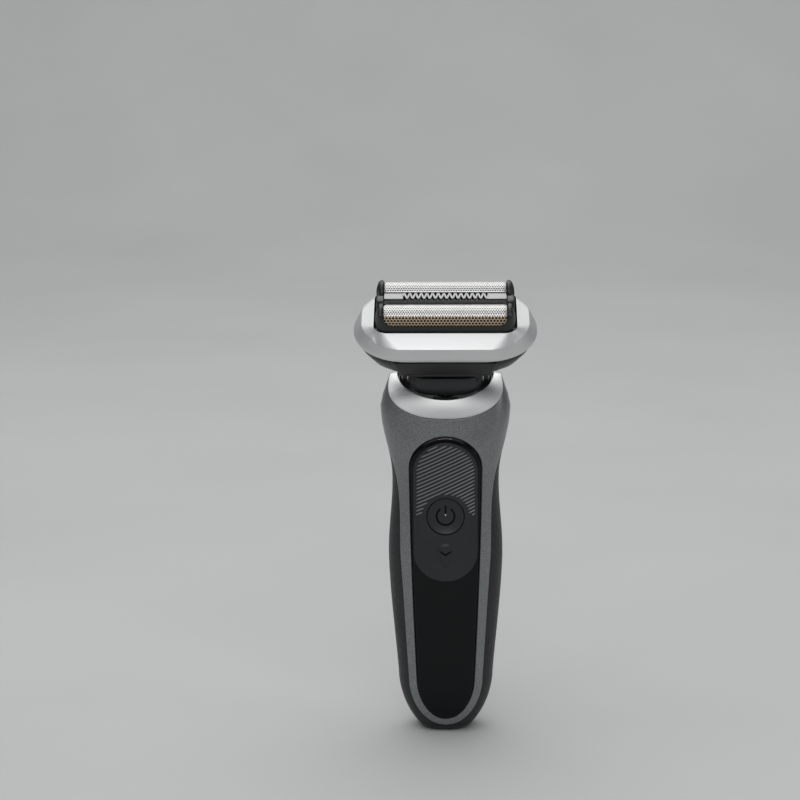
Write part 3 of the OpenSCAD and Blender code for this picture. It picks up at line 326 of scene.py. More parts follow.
def latticeOf(tree, source, pitch):
    # distance to the nearest hole where each hole has six neighbours one pitch away
    cell = (pitch, pitch*1.732, 1)

    def vector(operation, *parts):
        return addNode(tree, "VectorMath", dict(enumerate(parts)), operation=operation)

    lengths = []
    for shift in (0, 0.5):
        moved = vector("ADD", source, (shift*cell[0], shift*cell[1], 0))[0]
        wrapped = vector("MODULO", moved, cell)[0]
        centred = vector("SUBTRACT", wrapped, (cell[0]/2, cell[1]/2, 0))[0]
        lengths.append(vector("LENGTH", centred)["Value"])
    return addNode(tree, "Math", {0: lengths[0], 1: lengths[1]}, operation="MINIMUM")[0]


def foilMaterial(name, look):
    # Thin steel full of round holes: small ones on top, wide ones with bronze webs low down.
    # The UV map is in millimetres over wrapScale: U along the foil, V round it from the front edge.
    material, tree, shader = startMaterial(name)
    uv = addNode(tree, "TexCoord", {})["UV"]
    spot = addNode(tree, "Mapping", {"Vector": uv, "Scale": (wrapScale, wrapScale, 1)})["Vector"]

    def webOf(pitch, hole, rim):
        return rangeOf(tree, latticeOf(tree, spot, pitch), 0, 1, hole, hole + rim)

    small = webOf(look["finePitch"], look["fineHole"], 0.08)
    wide = webOf(look["widePitch"], look["wideHole"], 0.07)
    height = addNode(tree, "SeparateXYZ", {"Vector": spot})["Y"]
    low = rangeOf(tree, height, 1, 0, look["split"] - 0.15, look["split"] + 0.15)
    solid = addNode(tree, "Mix", {0: low, 2: small, 3: wide})[0]  # 0 in a hole, 1 on the web
    fineColour = blendOf(tree, small, look["fineDark"], look["fineBright"])
    wideColour = blendOf(tree, wide, look["wideDark"], look["web"])
    tree.links.new(blendOf(tree, low, fineColour, wideColour), shader["Base Color"])
    tree.links.new(bumpOf(tree, solid, 0.00008), shader["Normal"])
    tree.links.new(rangeOf(tree, solid, 0.6, 0.4, 0, 1), shader["Roughness"])
    shader["Metallic"].default_value = 0.9
    return material


def dressNodes():
    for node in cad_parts.values():
        for place in node.material_slots:
            key = place.material.name.split(".")[0] if place.material else ""
            if key in materials:
                place.material = materials[key]
            else:
                print("no finish for", node.name, key)
    # painted shade: the blade, roll pins and motor armature sit in shade behind the comb and in the neck,
    # so their steel is painted dark
    for name in ("trimmer_blade", "roll_pins", "motor_armature"):
        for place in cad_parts[name].material_slots:
            place.material = materials["darkened_steel"]


dressNodes()
print("materials made")


handle = {"square": 2.6, "axisY": 0.9, "footY": -1.4, "footCut": 2.6, "capTop": 2.4,
          # height, half width, half depth, angle of the seam
          "stations": [(20, 16.6, 11.9, 46.5), (62, 19.9, 14.3, 46.5), (92, 18.6, 15.1, 64),
                       (114.5, 22.45, 16.2, 116), (126, 19.25, 15.5, 116)],
          "rimDipFront": 13.2, "rimDipBack": 4, "tailPower": 1.8, "footPower": 0.6,
          # depth of the curl at the rim, the angles it fades out from and over, and its height
          "curl": 1.3, "curlEnd": 80, "curlFade": 60, "curlHeight": 12}
tailZ = handle["stations"][0][0]
rimZ = handle["stations"][-1][0]


def along(z, column):
    rows = handle["stations"]
    i = 0
    while i < len(rows) - 2 and z >= rows[i + 1][0]:
        i += 1

    def slope(k):
        a, b = rows[max(k - 1, 0)], rows[min(k + 1, len(rows) - 1)]
        return (b[column] - a[column])/(b[0] - a[0])

    low, high = rows[i], rows[i + 1]
    h = high[0] - low[0]
    t = (z - low[0])/h
    return (low[column]*(1 - 3*t*t + 2*t**3) + high[column]*(3*t*t - 2*t**3)
            + h*slope(i)*(t - 2*t*t + t**3) + h*slope(i + 1)*(t**3 - t*t))


def tailShare(z):
    if z >= tailZ:
        return 1
    return sqrt(max(0, 1 - ((tailZ - z)/(tailZ + handle["footCut"]))**handle["tailPower"]))


def halfWidth(z):
    return along(max(z, tailZ), 1)*tailShare(z)


def halfDepth(z):
    return along(max(z, tailZ), 2)*tailShare(z)**handle["footPower"]


def midY(z):
    return mix(handle["footY"], handle["axisY"], tailShare(z)**handle["footPower"])


def signedPower(value, power):
    return copysign(abs(value)**power, value)


def skin(angle, z, inset=0.0):
    # point of the handle's skin at an angle in degrees from the front
    a = radians(angle)
    power = 2/handle["square"]
    return Vector(((halfWidth(z) - inset)*signedPower(sin(a), power),
                   midY(z) - (halfDepth(z) - inset)*signedPower(cos(a), power), z))


def angleAt(x, z):
    return copysign(degrees(asin(min(1, (abs(x)/halfWidth(z))**(handle["square"]/2)))), x)


def frontY(z):
    return midY(z) - halfDepth(z)


def rimHeight(angle):
    b = abs(angle) if abs(angle) <= 180 else 360 - abs(angle)
    if b <= 90:
        return rimZ - handle["rimDipFront"]*cos(radians(b))
    return rimZ - handle["rimDipBack"]*(1 - sin(radians(b)))


def rollIn(angle, z):
    # the shell's front curls in a little towards the collar
    share = smooth((handle["curlEnd"] - abs(angle))/handle["curlFade"])
    return handle["curl"]*share*smooth(1 - (rimHeight(angle) - z)/handle["curlHeight"])


seam = {"low": 46.5, "rim": 116, "z0": 2.5, "gap": 0.1, "turnGap": 0.2}
seamTop = rimHeight(seam["rim"])


def seamPoint(t):
    # angle and height of the seam between the shells, t 0 to 1 round the tail, 1 to 2 up the side
    if t <= 1:
        turn = pi/2*t
        z = mix(seam["z0"], tailZ, 1 - cos(turn))
        return angleAt(skin(seam["low"], tailZ).x*sin(turn), z), z
    z = mix(tailZ, seamTop, t - 1)
    return along(z, 3), z


panel = {"z0": 4.8, "z1": 106.9, "w0": 19, "w1": 25.8, "bow": 0.5, "r0": 14, "r1": 12, "gap": 0.1,
         "pillow": 1.3, "sink": 0.4, "under": 0.05, "well": 0.85, "wellR": 8.2, "wellSlope": 1.6,
         "wellLow": 76, "wellHigh": 79, "thick": 1.4, "edge": 0.3, "core": 12}


def panelHalf(z):
    t = (z - panel["z0"])/(panel["z1"] - panel["z0"])

    def end(s):
        return sqrt(max(0, 1 - (1 - min(1, max(0, s)))**2))

    return ((mix(panel["w0"], panel["w1"], t)/2 + panel["bow"]*sin(pi*t))
            * end((z - panel["z0"])/panel["r0"])*end((panel["z1"] - z)/panel["r1"]))


shells = {"wall": 1.5, "edge": 0.16, "rows": 170, "across": 9, "sideShare": 0.68,
          "turnZ": 88, "archZ": 95}  # over these heights the window's points fall behind the seam's


def frontShell():
    turnZ, archZ = shells["turnZ"], shells["archZ"]

    def edges(k):
        # a point of the outer edge, up the seam and along the rim, and the height of the window's point
        if k > shells["sideShare"]:
            t = (k - shells["sideShare"])/(1 - shells["sideShare"])
            angle = (seam["rim"] - seam["turnGap"])*(1 - t)
            return angle, rimHeight(angle) - seam["gap"], mix(archZ, panel["z1"], sin(pi/2*t))
        t = 2*k/shells["sideShare"]
        angle, z = seamPoint(t)
        if t <= 1:
            window = mix(panel["z0"], tailZ, 1 - cos(pi/2*t))
        elif z < turnZ:
            window = z
        else:
            window = mix(turnZ, archZ, 1 - (1 - (z - turnZ)/(seamTop - turnZ))**2)
        return max(0, angle - seam["turnGap"]), z + seam["gap"], window

    def place(u, v):
        side, k = mirrored(v)
        angle, z, window = edges(k)
        a, height = side*mix(angleAt(panelHalf(window), window), angle, u), mix(window, z, u)
        return skin(a, height, rollIn(a, height))

    piece = shapedGrid(shells["across"], 2*shells["rows"], place)
    mergePoints(piece)
    thicken(piece, shells["wall"])
    roundEdges(piece, shells["edge"], 50)
    finishPiece(piece, "frontShell", "handle", "grey_lacquer")
    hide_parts("front_shell")


rear = {"start": 1.5, "gap": 0.1, "inset": 0.04, "dipPower": 8, "edge": 0.12}
contactHoles = {"x": 5, "z": 26, "r": 1.9}


def rearShell():
    def place(u, v):
        angle, z = seamPoint(2*v)
        start = max(rear["start"], angle) + rear["gap"]
        a = mix(start, 360 - start, u)
        folded = min(a, 360 - a)
        dip = max(0, seamTop - rimHeight(max(folded, seam["rim"]))) if folded > start else 0
        return skin(a, z - dip*(z/seamTop)**rear["dipPower"], rear["inset"])

    piece = shapedGrid(88, 150, place)
    mergePoints(piece)
    thicken(piece, shells["wall"])
    for side in (-1, 1):
        drill(piece, contactHoles["r"], 14, (side*contactHoles["x"], 14, contactHoles["z"]))
    roundEdges(piece, rear["edge"], 50)
    finishPiece(piece, "rearShell", "handle", "black_grain")
    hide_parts("rear_shell")


footCap = {"holeW": 5.5, "holeD": 4.0, "holeCorner": 0.35, "corner": 2.1,
           "underShare": 0.35, "sideShare": 0.4}


def bottomCap():
    # closed band: underside from the socket's hole out, side with a round lower corner, top
    capTop, under, side = handle["capTop"], footCap["underShare"], footCap["sideShare"]

    def hole(angle, z):
        a = radians(angle)
        return Vector((footCap["holeW"]*signedPower(sin(a), footCap["holeCorner"]),
                       -footCap["holeD"]*signedPower(cos(a), footCap["holeCorner"]), z))

    def place(u, v):
        angle = 360*u
        if v <= under:
            return hole(angle, 0).lerp(skin(angle, 0.0, footCap["corner"]), v/under)
        if v <= under + side:
            t = (v - under)/side
            return skin(angle, mix(0.0, capTop, t), footCap["corner"]*(1 - sqrt(1 - (1 - t)**2)))
        t = (v - under - side)/(1 - under - side)
        return skin(angle, capTop).lerp(hole(angle, capTop), t)

    piece = shapedGrid(96, 40, place)
    mergePoints(piece)
    closeRims(piece, bpy.ops.mesh.bridge_edge_loops)  # the wall of the hole
    finishPiece(piece, "bottomCap", "handle", "black_plastic")
    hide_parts("bottom_cap")


frontShell()
rearShell()
bottomCap()
print("shells done")


def loopGrid(inward, around, outline, centre, place, crowd=1.0):
    # rings from a centre line out to an outline that is the same left and right, crowded at the edge
    def spot(u, v):
        side, k = mirrored(v)
        x, z = outline(k)
        out = 1 - (1 - u)**crowd
        return place(side*x*out, mix(centre(z), z, out), out)

    piece = shapedGrid(inward, around, spot)
    mergePoints(piece)
    return piece


def lens():
    def outline(k):
        # the window's outline pulled in by the gap
        z = mix(panel["z0"] + panel["gap"], panel["z1"] - panel["gap"], ease(k))
        return max(0, panelHalf(mix(panel["z0"], panel["z1"], ease(k))) - panel["gap"]), z

    def centre(z):
        return min(panel["z1"] - panel["core"], max(panel["z0"] + panel["core"], z))

    def face(x, z, out):
        fall = max(0, 1 - (1 - out)*panel["core"]/panel["pillow"])
        angle = angleAt(x, z)
        away = hypot(x, z - min(panel["wellHigh"], max(panel["wellLow"], z)))
        # room for the button behind the pad
        well = panel["well"]*smooth((panel["wellR"] - away)/panel["wellSlope"])
        return skin(angle, z, panel["under"] + panel["sink"]*fall**2 + rollIn(angle, z) + well)

    piece = loopGrid(18, 260, outline, centre, face, 1.8)
    thicken(piece, panel["thick"])
    roundEdges(piece, panel["edge"], 50, 3)
    finishPiece(piece, "lensPanel", "handle", "gloss_black")
    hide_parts("front_panel")


lens()
print("lens done")


button = {"r": 6.25, "z": 79, "sink": 0.18, "hollow": 1.02, "lip": 0.28,
          "faceShare": 0.72, "lipShare": 0.14, "ring": 3.05, "stroke": 0.62, "gap": 34,
          "barTop": 3.7, "barLow": 0.7, "proud": 0.07, "stemHalf": 1.5, "stemNear": 0.8,
          "stemFar": 3.2, "whiteDotR": 0.24, "whiteDotUp": 0.45}
pad = {"z0": 56.1, "z1": 104.9, "half": 10.3, "stand": 1.3, "thick": 1.0, "edge": 0.35, "hole": 6.55,
       "ribPitch": 1.3, "ribSlope": 27, "ribWidth": 0.56, "ribHeight": 0.22, "ribFall": 0.08,
       "ribInset": 0.75, "ribClear": 7.6, "ribStart": 70, "ribShort": 0.9, "ribTaper": 0.4,
       # the ribs' lower end: highest at ribPeak from the middle, falling at ribDrop to both sides
       "ribLow": 79.6, "ribPeak": 8, "ribDrop": 0.4,
       # the slanted lines that are tried, and the steps along each
       "ribLines": (-8, 60), "ribSteps": (-208, 210), "ribStep": 0.05}
thumbDish = {"z": 66.3, "r": 6.9, "flat": 3.2, "depth": 0.32, "ringR": 6.7, "ringDepth": 0.16,
             "dropTop": 66.8, "dropLow": 62.2, "dropWide": 2.45, "dropNarrow": 1.0, "dropRise": 0.6}


def padHalf(z, inset=0.0):
    r = pad["half"] - inset
    low, high = pad["z0"] + pad["half"], pad["z1"] - pad["half"]
    off = max(0, low - z, z - high)
    return sqrt(max(0, r*r - off*off))


def padDepth(x, z):
    # hollows in the pad's face: a wide dish round a raised teardrop, and a shallow one round the button
    d = thumbDish
    r = hypot(x, z - d["z"])
    depth = d["depth"]*(1 - smooth((r - d["flat"])/(d["r"] - d["flat"])))
    drop = min(1, max(0, (d["dropTop"] - z)/(d["dropTop"] - d["dropLow"])))
    away = hypot(x, z - mix(d["dropTop"], d["dropLow"], drop))
    depth -= d["dropRise"]*smooth(mix(d["dropWide"], d["dropNarrow"], drop) + 0.3 - away)
    ring = hypot(x, z - button["z"])
    return depth + d["ringDepth"]*(1 - smooth(ring - d["ringR"]))


def padSkin(x, z, lift=0.0):
    angle = angleAt(x, z)
    return skin(angle, z, rollIn(angle, z) - pad["stand"] - lift)


def ribRuns():
    # every rib as start and end x on its slanted line, kept inside the pad and clear of the button
    slope = tan(radians(pad["ribSlope"]))
    runs = []
    for i in range(*pad["ribLines"]):
        z0 = pad["ribStart"] + i*pad["ribPitch"]
        start = None
        for j in range(*pad["ribSteps"]):
            x = j*pad["ribStep"]
            z = z0 + x*slope
            inside = (abs(x) < padHalf(z, pad["ribInset"])
                      and z > pad["ribLow"] - pad["ribDrop"]*abs(abs(x) - pad["ribPeak"])
                      and hypot(x, z - button["z"]) > pad["ribClear"])
            if inside and start is None:
                start = x
            if not inside and start is not None:
                if x - start > pad["ribShort"]:
                    runs.append((start, x, z0))
                start = None
    return runs, slope


def ribStrip(x0, x1, z0, slope):
    turn = radians(pad["ribSlope"])

    def place(u, v):
        # u across the rib, v along it; the ends taper into the face
        x = mix(x0, x1, v)
        end = min(1, min(v, 1 - v)*(x1 - x0)/pad["ribTaper"])
        half = pad["ribWidth"]/2*sqrt(max(0.04, 1 - (1 - end)**2))
        s = 2*u - 1
        rise = pad["ribHeight"]*(1 - s**4) - pad["ribFall"]*abs(s)
        return padSkin(x + s*half*sin(turn), z0 + x*slope - s*half*cos(turn), rise*end - 0.02)

    return shapedGrid(6, max(6, int((x1 - x0)/0.8)), place)


def thumbPad():
    low, high = pad["z0"] + pad["half"], pad["z1"] - pad["half"]
    quarter = pad["half"]*pi/2

    def outline(k):
        # equal steps round the end, along the side and round the other end
        s = k*(2*quarter + high - low)
        if s < quarter:
            a = s/pad["half"]
            return pad["half"]*sin(a), low - pad["half"]*cos(a)
        if s < quarter + high - low:
            return pad["half"], low + s - quarter
        a = (s - quarter - high + low)/pad["half"]
        return pad["half"]*cos(a), high + pad["half"]*sin(a)

    base = loopGrid(44, 420, outline, lambda z: min(high, max(low, z)),
                    lambda x, z, out: padSkin(x, z, -padDepth(x, z)))
    thicken(base, pad["thick"])
    drill(base, pad["hole"], 12, (0, frontY(button["z"]), button["z"]), 120)
    roundEdges(base, pad["edge"], 55, 3)
    runs, slope = ribRuns()
    ribbed = joinAll([ribStrip(*run, slope) for run in runs])
    faceOutward(ribbed)
    for part, finish in ((base, "charcoal_plastic"), (ribbed, "rib_grey")):
        part.data.materials.clear()
        part.data.materials.append(materials[finish])
    piece = joinAll([base, ribbed])
    finishPiece(piece, "thumbPad", "lock", "charcoal_plastic", angle=40)
    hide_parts("lock_slider")


def faceOutward(piece):
    # turns the faces of open strips to the front
    mesh = bmesh.new()
    mesh.from_mesh(piece.data)
    mesh.normal_update()
    turned = [face for face in mesh.faces if face.normal.y > 0]
    bmesh.ops.reverse_faces(mesh, faces=turned)
    mesh.to_mesh(piece.data)
    mesh.free()


def buttonFace(x, z):
    # y of the button's dished face
    r = hypot(x, z - button["z"])/button["r"]
    face = frontY(button["z"]) - pad["stand"] + button["sink"]
    return face + button["hollow"]*(1 - min(1, r)**3.2)


def powerButton():
    face, lip = button["faceShare"], button["lipShare"]

    def place(u, v):
        a = 2*pi*v
        t = min(1, max(0, (u - face)/lip))*pi/2  # round the lip
        if u < face:
            r = (button["r"] - button["lip"])*u/face
        else:
            r = button["r"] - button["lip"]*(1 - sin(t))
        x, z = r*sin(a), button["z"] + r*cos(a)
        back = button["lip"]*(1 - cos(t)) + max(0, u - face - lip)/lip  # a side 1 mm deep
        return Vector((x, buttonFace(x, z) + back, z))

    piece = shapedGrid(28, 128, place)
    mergePoints(piece)
    y, z, half = frontY(button["z"]), button["z"], button["stemHalf"]
    stem = softBox((-half, y + button["stemNear"], z - half), (half, y + button["stemFar"], z + half), 0.3)
    lookTowards(piece, 0, -1, 0)
    piece = joinAll([piece, stem])
    finishPiece(piece, "powerButton", "power", "charcoal_plastic", angle=50)
    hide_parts("power_button")


def powerMark():
    def arc(u, v):
        a = mix(radians(button["gap"]), radians(360 - button["gap"]), v)
        r = button["ring"] + (u - 0.5)*button["stroke"]
        x, z = r*sin(a), button["z"] + r*cos(a)
        return Vector((x, buttonFace(x, z) - button["proud"], z))

    def bar(u, v):
        x, z = (u - 0.5)*button["stroke"], button["z"] + mix(button["barLow"], button["barTop"], v)
        return Vector((x, buttonFace(x, z) - button["proud"], z))

    ring = shapedGrid(3, 72, arc)
    line = shapedGrid(3, 12, bar)
    piece = joinAll([ring, line])
    faceOutward(piece)
    thicken(piece, 0.2)
    finishPiece(piece, "powerMark", "power", "black_plastic", materials["mark_black"])
    letGo()
    # a small white dot just above the button's centre, below the mark's bar
    place = (0, buttonFace(0, button["z"]) - 0.05, button["z"] + button["whiteDotUp"])
    bpy.ops.mesh.primitive_uv_sphere_add(radius=button["whiteDotR"], segments=20, ring_count=12, location=place)
    dot = bpy.context.object
    bpy.ops.transform.resize(value=(1, 0.45, 1))
    fixPlace()
    finishPiece(dot, "powerWhiteDot", "power", "white_plastic")


mark = {"half": 1.65, "z0": 65.4, "rise": 1.35, "stroke": 0.6, "lift": 0.13}


def chevron():
    def place(u, v):
        s = 2*v - 1
        x = mark["half"]*s
        z = mark["z0"] + mark["rise"]*sqrt(s*s + 0.02) + (u - 0.5)*mark["stroke"]
        return padSkin(x, z, mark["lift"] - padDepth(x, z))

    piece = shapedGrid(2, 32, place)
    faceOutward(piece)
    thicken(piece, 0.3)
    finishPiece(piece, "padMark", "lock", "black_plastic", materials["mark_black"])


thumbPad()
powerButton()
powerMark()
chevron()
print("pad done")


neck = {"w": 33.2, "d": 27.2, "z0": 119.2, "z1": 126.4, "square": 2.3, "backDip": 3.6, "crown": 0.15,
        "end": 102, "thick": 1.4, "edge": 0.35, "dishIn": 1.2, "dishZ": 117.8, "dishWall": 1.0, "hole": 3.1}
ear = {"x": 14, "r": 2.2, "thick": 1.6, "drop": 8.2}
pin = {"r": 1.2, "low": 10.7, "high": 15.0, "washerR": 2.1, "washerLow": 12.64, "washerHigh": 13.16}


def neckEdge(angle, shrink=0.0, drop=0.0):
    b = abs(angle) if abs(angle) <= 180 else 360 - abs(angle)
    rise = (1 - cos(radians(b)))**0.8 if b <= 90 else 1
    z = mix(neck["z0"], neck["z1"], rise)
    if b > 90:
        z -= neck["backDip"]*(1 - sin(radians(b)))
    a = radians(angle)
    power = 2/neck["square"]
    return Vector(((neck["w"]/2 - shrink)*signedPower(sin(a), power),
                   handle["axisY"] - (neck["d"]/2 - shrink)*signedPower(cos(a), power), z - drop))


def collar(name, slot, start, end, node):
    def place(u, v):
        angle = mix(start, end, u)
        rim = skin(angle, rimHeight(angle) + 0.1, rollIn(angle, rimHeight(angle)))
        edge = neckEdge(angle)
        out = Vector((rim.x, rim.y - handle["axisY"], 0)).normalized() + Vector((0, 0, 1))
        return rim.lerp(edge, v) + out*neck["crown"]*sin(pi*v)

    piece = shapedGrid(150, 12, place)
    thicken(piece, neck["thick"])
    roundEdges(piece, neck["edge"], 40, 3)
    finishPiece(piece, name, "handle", slot)
    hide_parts(node)


def neckDish():
    def place(u, v):
        angle = 360*u
        a = radians(angle)
        low = neckEdge(angle, neck["dishIn"] + 1.5)
        bottom = neckEdge(angle, neck["dishIn"])
        low.z = bottom.z = neck["dishZ"]
        if v < 0.4:
            hole = Vector((neck["hole"]*sin(a), headPlace["y"] - neck["hole"]*cos(a),
                           neck["dishZ"]))
            return hole.lerp(low, v/0.4)
        t = (v - 0.4)/0.6
        rim = neckEdge(angle, 0.7, 1.2)
        return low.lerp(bottom, t)*(1 - t) + bottom.lerp(rim, t)*t  # rounded corner into the wall

    dish = shapedGrid(120, 30, place)
    mergePoints(dish)
    lookTowards(dish, 0, 0, 1)
    thicken(dish, neck["dishWall"])
    roundEdges(dish, 0.2, 55)
    parts = [dish]
    for side in (-1, 1):  # ears that carry the tilt pins
        post = addRod(ear["r"], ear["thick"], (side*ear["x"], headPlace["y"], headPlace["z"]), alongX, 48)
        fixPlace()
        useMode("EDIT")
        mesh = bmesh.from_edit_mesh(post.data)
        mesh.normal_update()
        for face in mesh.faces:
            face.select_set(face.normal.z < -0.35)
        bmesh.update_edit_mesh(post.data)
        bpy.ops.mesh.extrude_region_move(TRANSFORM_OT_translate={"value": (0, 0, -ear["drop"])})
        useMode("OBJECT")
        roundEdges(post, 0.3, 55)
        parts.append(post)
    piece = joinAll(parts)
    finishPiece(piece, "neckDish", "handle", "black_plastic")
    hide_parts("neck_dish")


def tiltPins():
    # two steel pins, each with a bright washer between the frame and its ear
    parts = []
    for side in (-1, 1):
        for r, low, high in ((pin["r"], pin["low"], pin["high"]),
                             (pin["washerR"], pin["washerLow"], pin["washerHigh"])):
            rod = addRod(r, high - low, (side*(low + high)/2, 0, 0), alongX)
            fixPlace()
            roundEdges(rod, 0.15, 40)
            parts.append(rod)
    piece = finishPiece(joinAll(parts), "tiltPins", "tilt", "steel", materials["satin_silver"], inHead=True)
    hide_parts("tilt_pins")


collar("collarFront", "satin_silver", -neck["end"], neck["end"], "collar_front")
collar("collarBack", "black_plastic", neck["end"] + 0.5, 359.5 - neck["end"], "collar_back")
neckDish()
tiltPins()
print("neck done")


head = {"w": 62, "d": 37, "mouthW": 48, "mouthD": 25.6, "mouthR": 4.5, "mouthZ": 25.9, "creaseZ": 22.2,
        "creaseW": 56.6, "creaseD": 34.54, "creaseR": 14, "edgeZ": 19.4, "lowZ": 17.8, "cornerR": 17.9,
        "climb": 1.6, "climbFrom": 15, "climbOver": 13, "wall": 1.6}


def roundLoop(w, d, r, z, steps=14):
    # a plane at its size with its four corners bevelled round, kept as an open loop
    letGo()
    bpy.ops.mesh.primitive_plane_add(size=1, location=(0, 0, z))
    loop = bpy.context.object
    useMode("EDIT")
    bpy.ops.mesh.select_all(action="SELECT")
    bpy.ops.transform.resize(value=(w, d, 1))
    bpy.ops.mesh.bevel(offset=min(r, w/2 - 0.01, d/2 - 0.01), segments=steps, affect="VERTICES")
    bpy.ops.mesh.select_all(action="SELECT")
    bpy.ops.mesh.delete(type="ONLY_FACE")
    useMode("OBJECT")
    fixPlace()
    return loop


def pickEdges(piece, wanted):
    # opens the piece with only the edges picked whose pair of points is wanted
    pickUp(piece)
    useMode("EDIT")
    bpy.ops.mesh.select_all(action="DESELECT")
    mesh = bmesh.from_edit_mesh(piece.data)
    for edge in mesh.edges:
        if wanted({point.index for point in edge.verts}):
            edge.select_set(True)
    bmesh.update_edit_mesh(piece.data)


def stackLoops(rows, capped=False, closed=False):
    # round loops joined into one skin from row to row
    loops = [roundLoop(*row) for row in rows]
    counts = [len(loop.data.vertices) for loop in loops]
    piece = joinAll(loops)
    own = [set(range(sum(counts[:i]), sum(counts[:i + 1]))) for i in range(len(counts))]
    for low, high in zip(own, own[1:] + own[:1] if closed else own[1:]):
        pickEdges(piece, lambda ends: ends <= low or ends <= high)
        bpy.ops.mesh.bridge_edge_loops()
        useMode("OBJECT")
    if capped:
        pickEdges(piece, lambda ends: ends <= own[-1])
        bpy.ops.mesh.edge_face_add()
        useMode("OBJECT")
    faceOut(piece)
    return piece


def headRing():
    h = head
    edge = (h["w"] - 0.1, h["d"] - 0.1, h["cornerR"], h["edgeZ"])
    crease = (h["creaseW"], h["creaseD"], h["creaseR"], h["creaseZ"])
    mouth = (h["mouthW"], h["mouthD"], h["mouthR"], h["mouthZ"])

    def between(a, b, t, bulge=0.0):
        w, d, r, z = (mix(p, q, t) for p, q in zip(a, b))
        return w + bulge, d + bulge, r, z + bulge*0.4

    # close rows beside each crease keep the bands flat
    rows = [(h["w"] - 0.7, h["d"] - 0.6, h["cornerR"] - 0.3, h["lowZ"]),
            (h["w"] - 0.02, h["d"] - 0.1, h["cornerR"], h["lowZ"] + 0.7),
            (h["w"], h["d"] - 0.08, h["cornerR"], h["edgeZ"] - 0.35), edge,
            between(edge, crease, 0.12, 0.02), between(edge, crease, 0.5, 0.06),
            between(edge, crease, 0.88, 0.02), crease,
            between(crease, mouth, 0.07), between(crease, mouth, 0.5, 0.15),
            between(crease, mouth, 0.93), mouth,
            (*mouth[:3], h["mouthZ"] - 0.4), (*mouth[:3], h["mouthZ"] - h["wall"]),
            (h["creaseW"] - 4, h["creaseD"] - 3.94, h["creaseR"] - 3, h["creaseZ"] - h["wall"]),
            (h["w"] - 5, h["d"] - 4.4, h["cornerR"] - 3, h["lowZ"])]
    piece = stackLoops(rows, closed=True)
    for point in piece.data.vertices:  # the crease climbs at the sides
        x, y, z = abs(point.co.x), abs(point.co.y), point.co.z
        if x > h["mouthW"]/2 + 0.05 and z > h["edgeZ"] - 0.1:
            inside = y < h["creaseD"]/2 - 2.47 and x < h["creaseW"]/2 - 1.9 and z < h["creaseZ"] - 1
            foot = h["edgeZ"] if z < h["creaseZ"] else h["mouthZ"]
            if not inside:
                share = smooth((x - h["climbFrom"])/h["climbOver"])
                point.co.z += h["climb"]*share*max(0, (z - foot)/(h["creaseZ"] - foot))
    roundEdges(piece, 0.12, 24)
    finishPiece(piece, "headRing", "head", "satin_silver", inHead=True, angle=40)
    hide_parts("head_ring")


housing = {"plug": (32, 20.4, 8, 6.3), "opening": (17.6, 9, 0.6, 6.3), "openingTop": (17.6, 9, 0.6, 8.2),
           # width, depth, corner and height of each row, up the outside and down into the well
           "rows": [(34, 22.4, 8.6, 7.2), (39, 26.8, 9.6, 9.4), (50, 31, 11, 12.6), (57, 34.2, 14.4, 15.8),
                    (60.6, 35.8, 17.8, 17.7), (56, 32, 14, 17.7), (48.4, 26, 4.5, 17.2),
                    (48, 25.6, 4.5, 13.9), (31.8, 18.4, 5, 13.7), (31.6, 18.2, 5, 8.0)],
           # half width, front, back and height of the slanted lip
           "lipLow": (15.2, -15.8, -13.4, 10.6), "lipTop": (17.3, -18.1, -16.2, 17.2),
           # low corner, high corner and edge of the strip under the lip
           "strip": ((-14.5, -16.15, 10.75), (14.5, -14.6, 11.5), 0.3)}


def headHousing():
    body = stackLoops([housing["plug"]] + housing["rows"], capped=True)
    # underside: a frame round the opening that the neck coupling plugs into
    under = stackLoops([housing["plug"], housing["opening"], housing["openingTop"]])
    lookTowards(under, 0, 0, -1)
    body = joinAll([body, under])
    mergePoints(body, 0.01)
    roundEdges(body, 0.3, 35)
    letGo()
    bpy.ops.mesh.primitive_cube_add(size=2)
    lip = bpy.context.object
    for point in lip.data.vertices:
        half, front, back, z = housing["lipLow"] if point.co.z < 0 else housing["lipTop"]
        point.co = (copysign(half, point.co.x), back if point.co.y > 0 else front, z)
    applyModifier(lip, "BEVEL", width=0.45, segments=3)
    piece = joinAll([body, lip, softBox(*housing["strip"])])
    finishPiece(piece, "headHousing", "head", "black_plastic", inHead=True)
    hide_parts("head_housing")


def softCopy(node, name, width, body, slot):
    # a CAD node's shape with its edges rounded: the copy is merged, then bevelled
    letGo()
    copy = bpy.data.objects.new(name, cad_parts[node].data.copy())
    bpy.context.collection.objects.link(copy)
    copy.data.transform(Matrix.Scale(1000, 4))
    copy.data.materials.clear()
    mergePoints(copy, 0.0005)
    editAll(copy, bpy.ops.mesh.dissolve_limited, angle_limit=radians(1))
    roundEdges(copy, width, 40, 3)
    piece = finishPiece(copy, name, body, slot)
    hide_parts(node)


headRing()
headHousing()
for side in ("left", "right"):
    softCopy("release_button_" + side, "releaseButton" + side.title(), 0.35,
             "release_" + side, "dark_plastic")
print("head done")


foil = {"half": 20.5, "r": 4.4, "z": 28.5, "front": -7.5, "rear": 7.0, "low": 25.2,
        "turnIn": 0.25, "turnOver": 0.7, "thick": 0.12}
carrier = {"outer": 23.4, "inner": 20.75, "outerR": 5.2, "innerR": 3.4, "low": 24.0, "window": 28.1,
           "r": 4.82, "wall": 0.35, "belly": 0.42, "lean": 1.3, "turnX": 19.3, "turnY": 8.1, "turnR": 4.15}
frontFoilLook = {"finePitch": 0.82, "fineHole": 0.22, "widePitch": 1.1, "wideHole": 0.38, "split": 6.2,
                 "fineDark": (0.12, 0.11, 0.10), "fineBright": (0.66, 0.66, 0.65),
                 "wideDark": (0.05, 0.035, 0.022), "web": (0.62, 0.50, 0.36)}
rearFoilLook = dict(frontFoilLook, split=1.0)


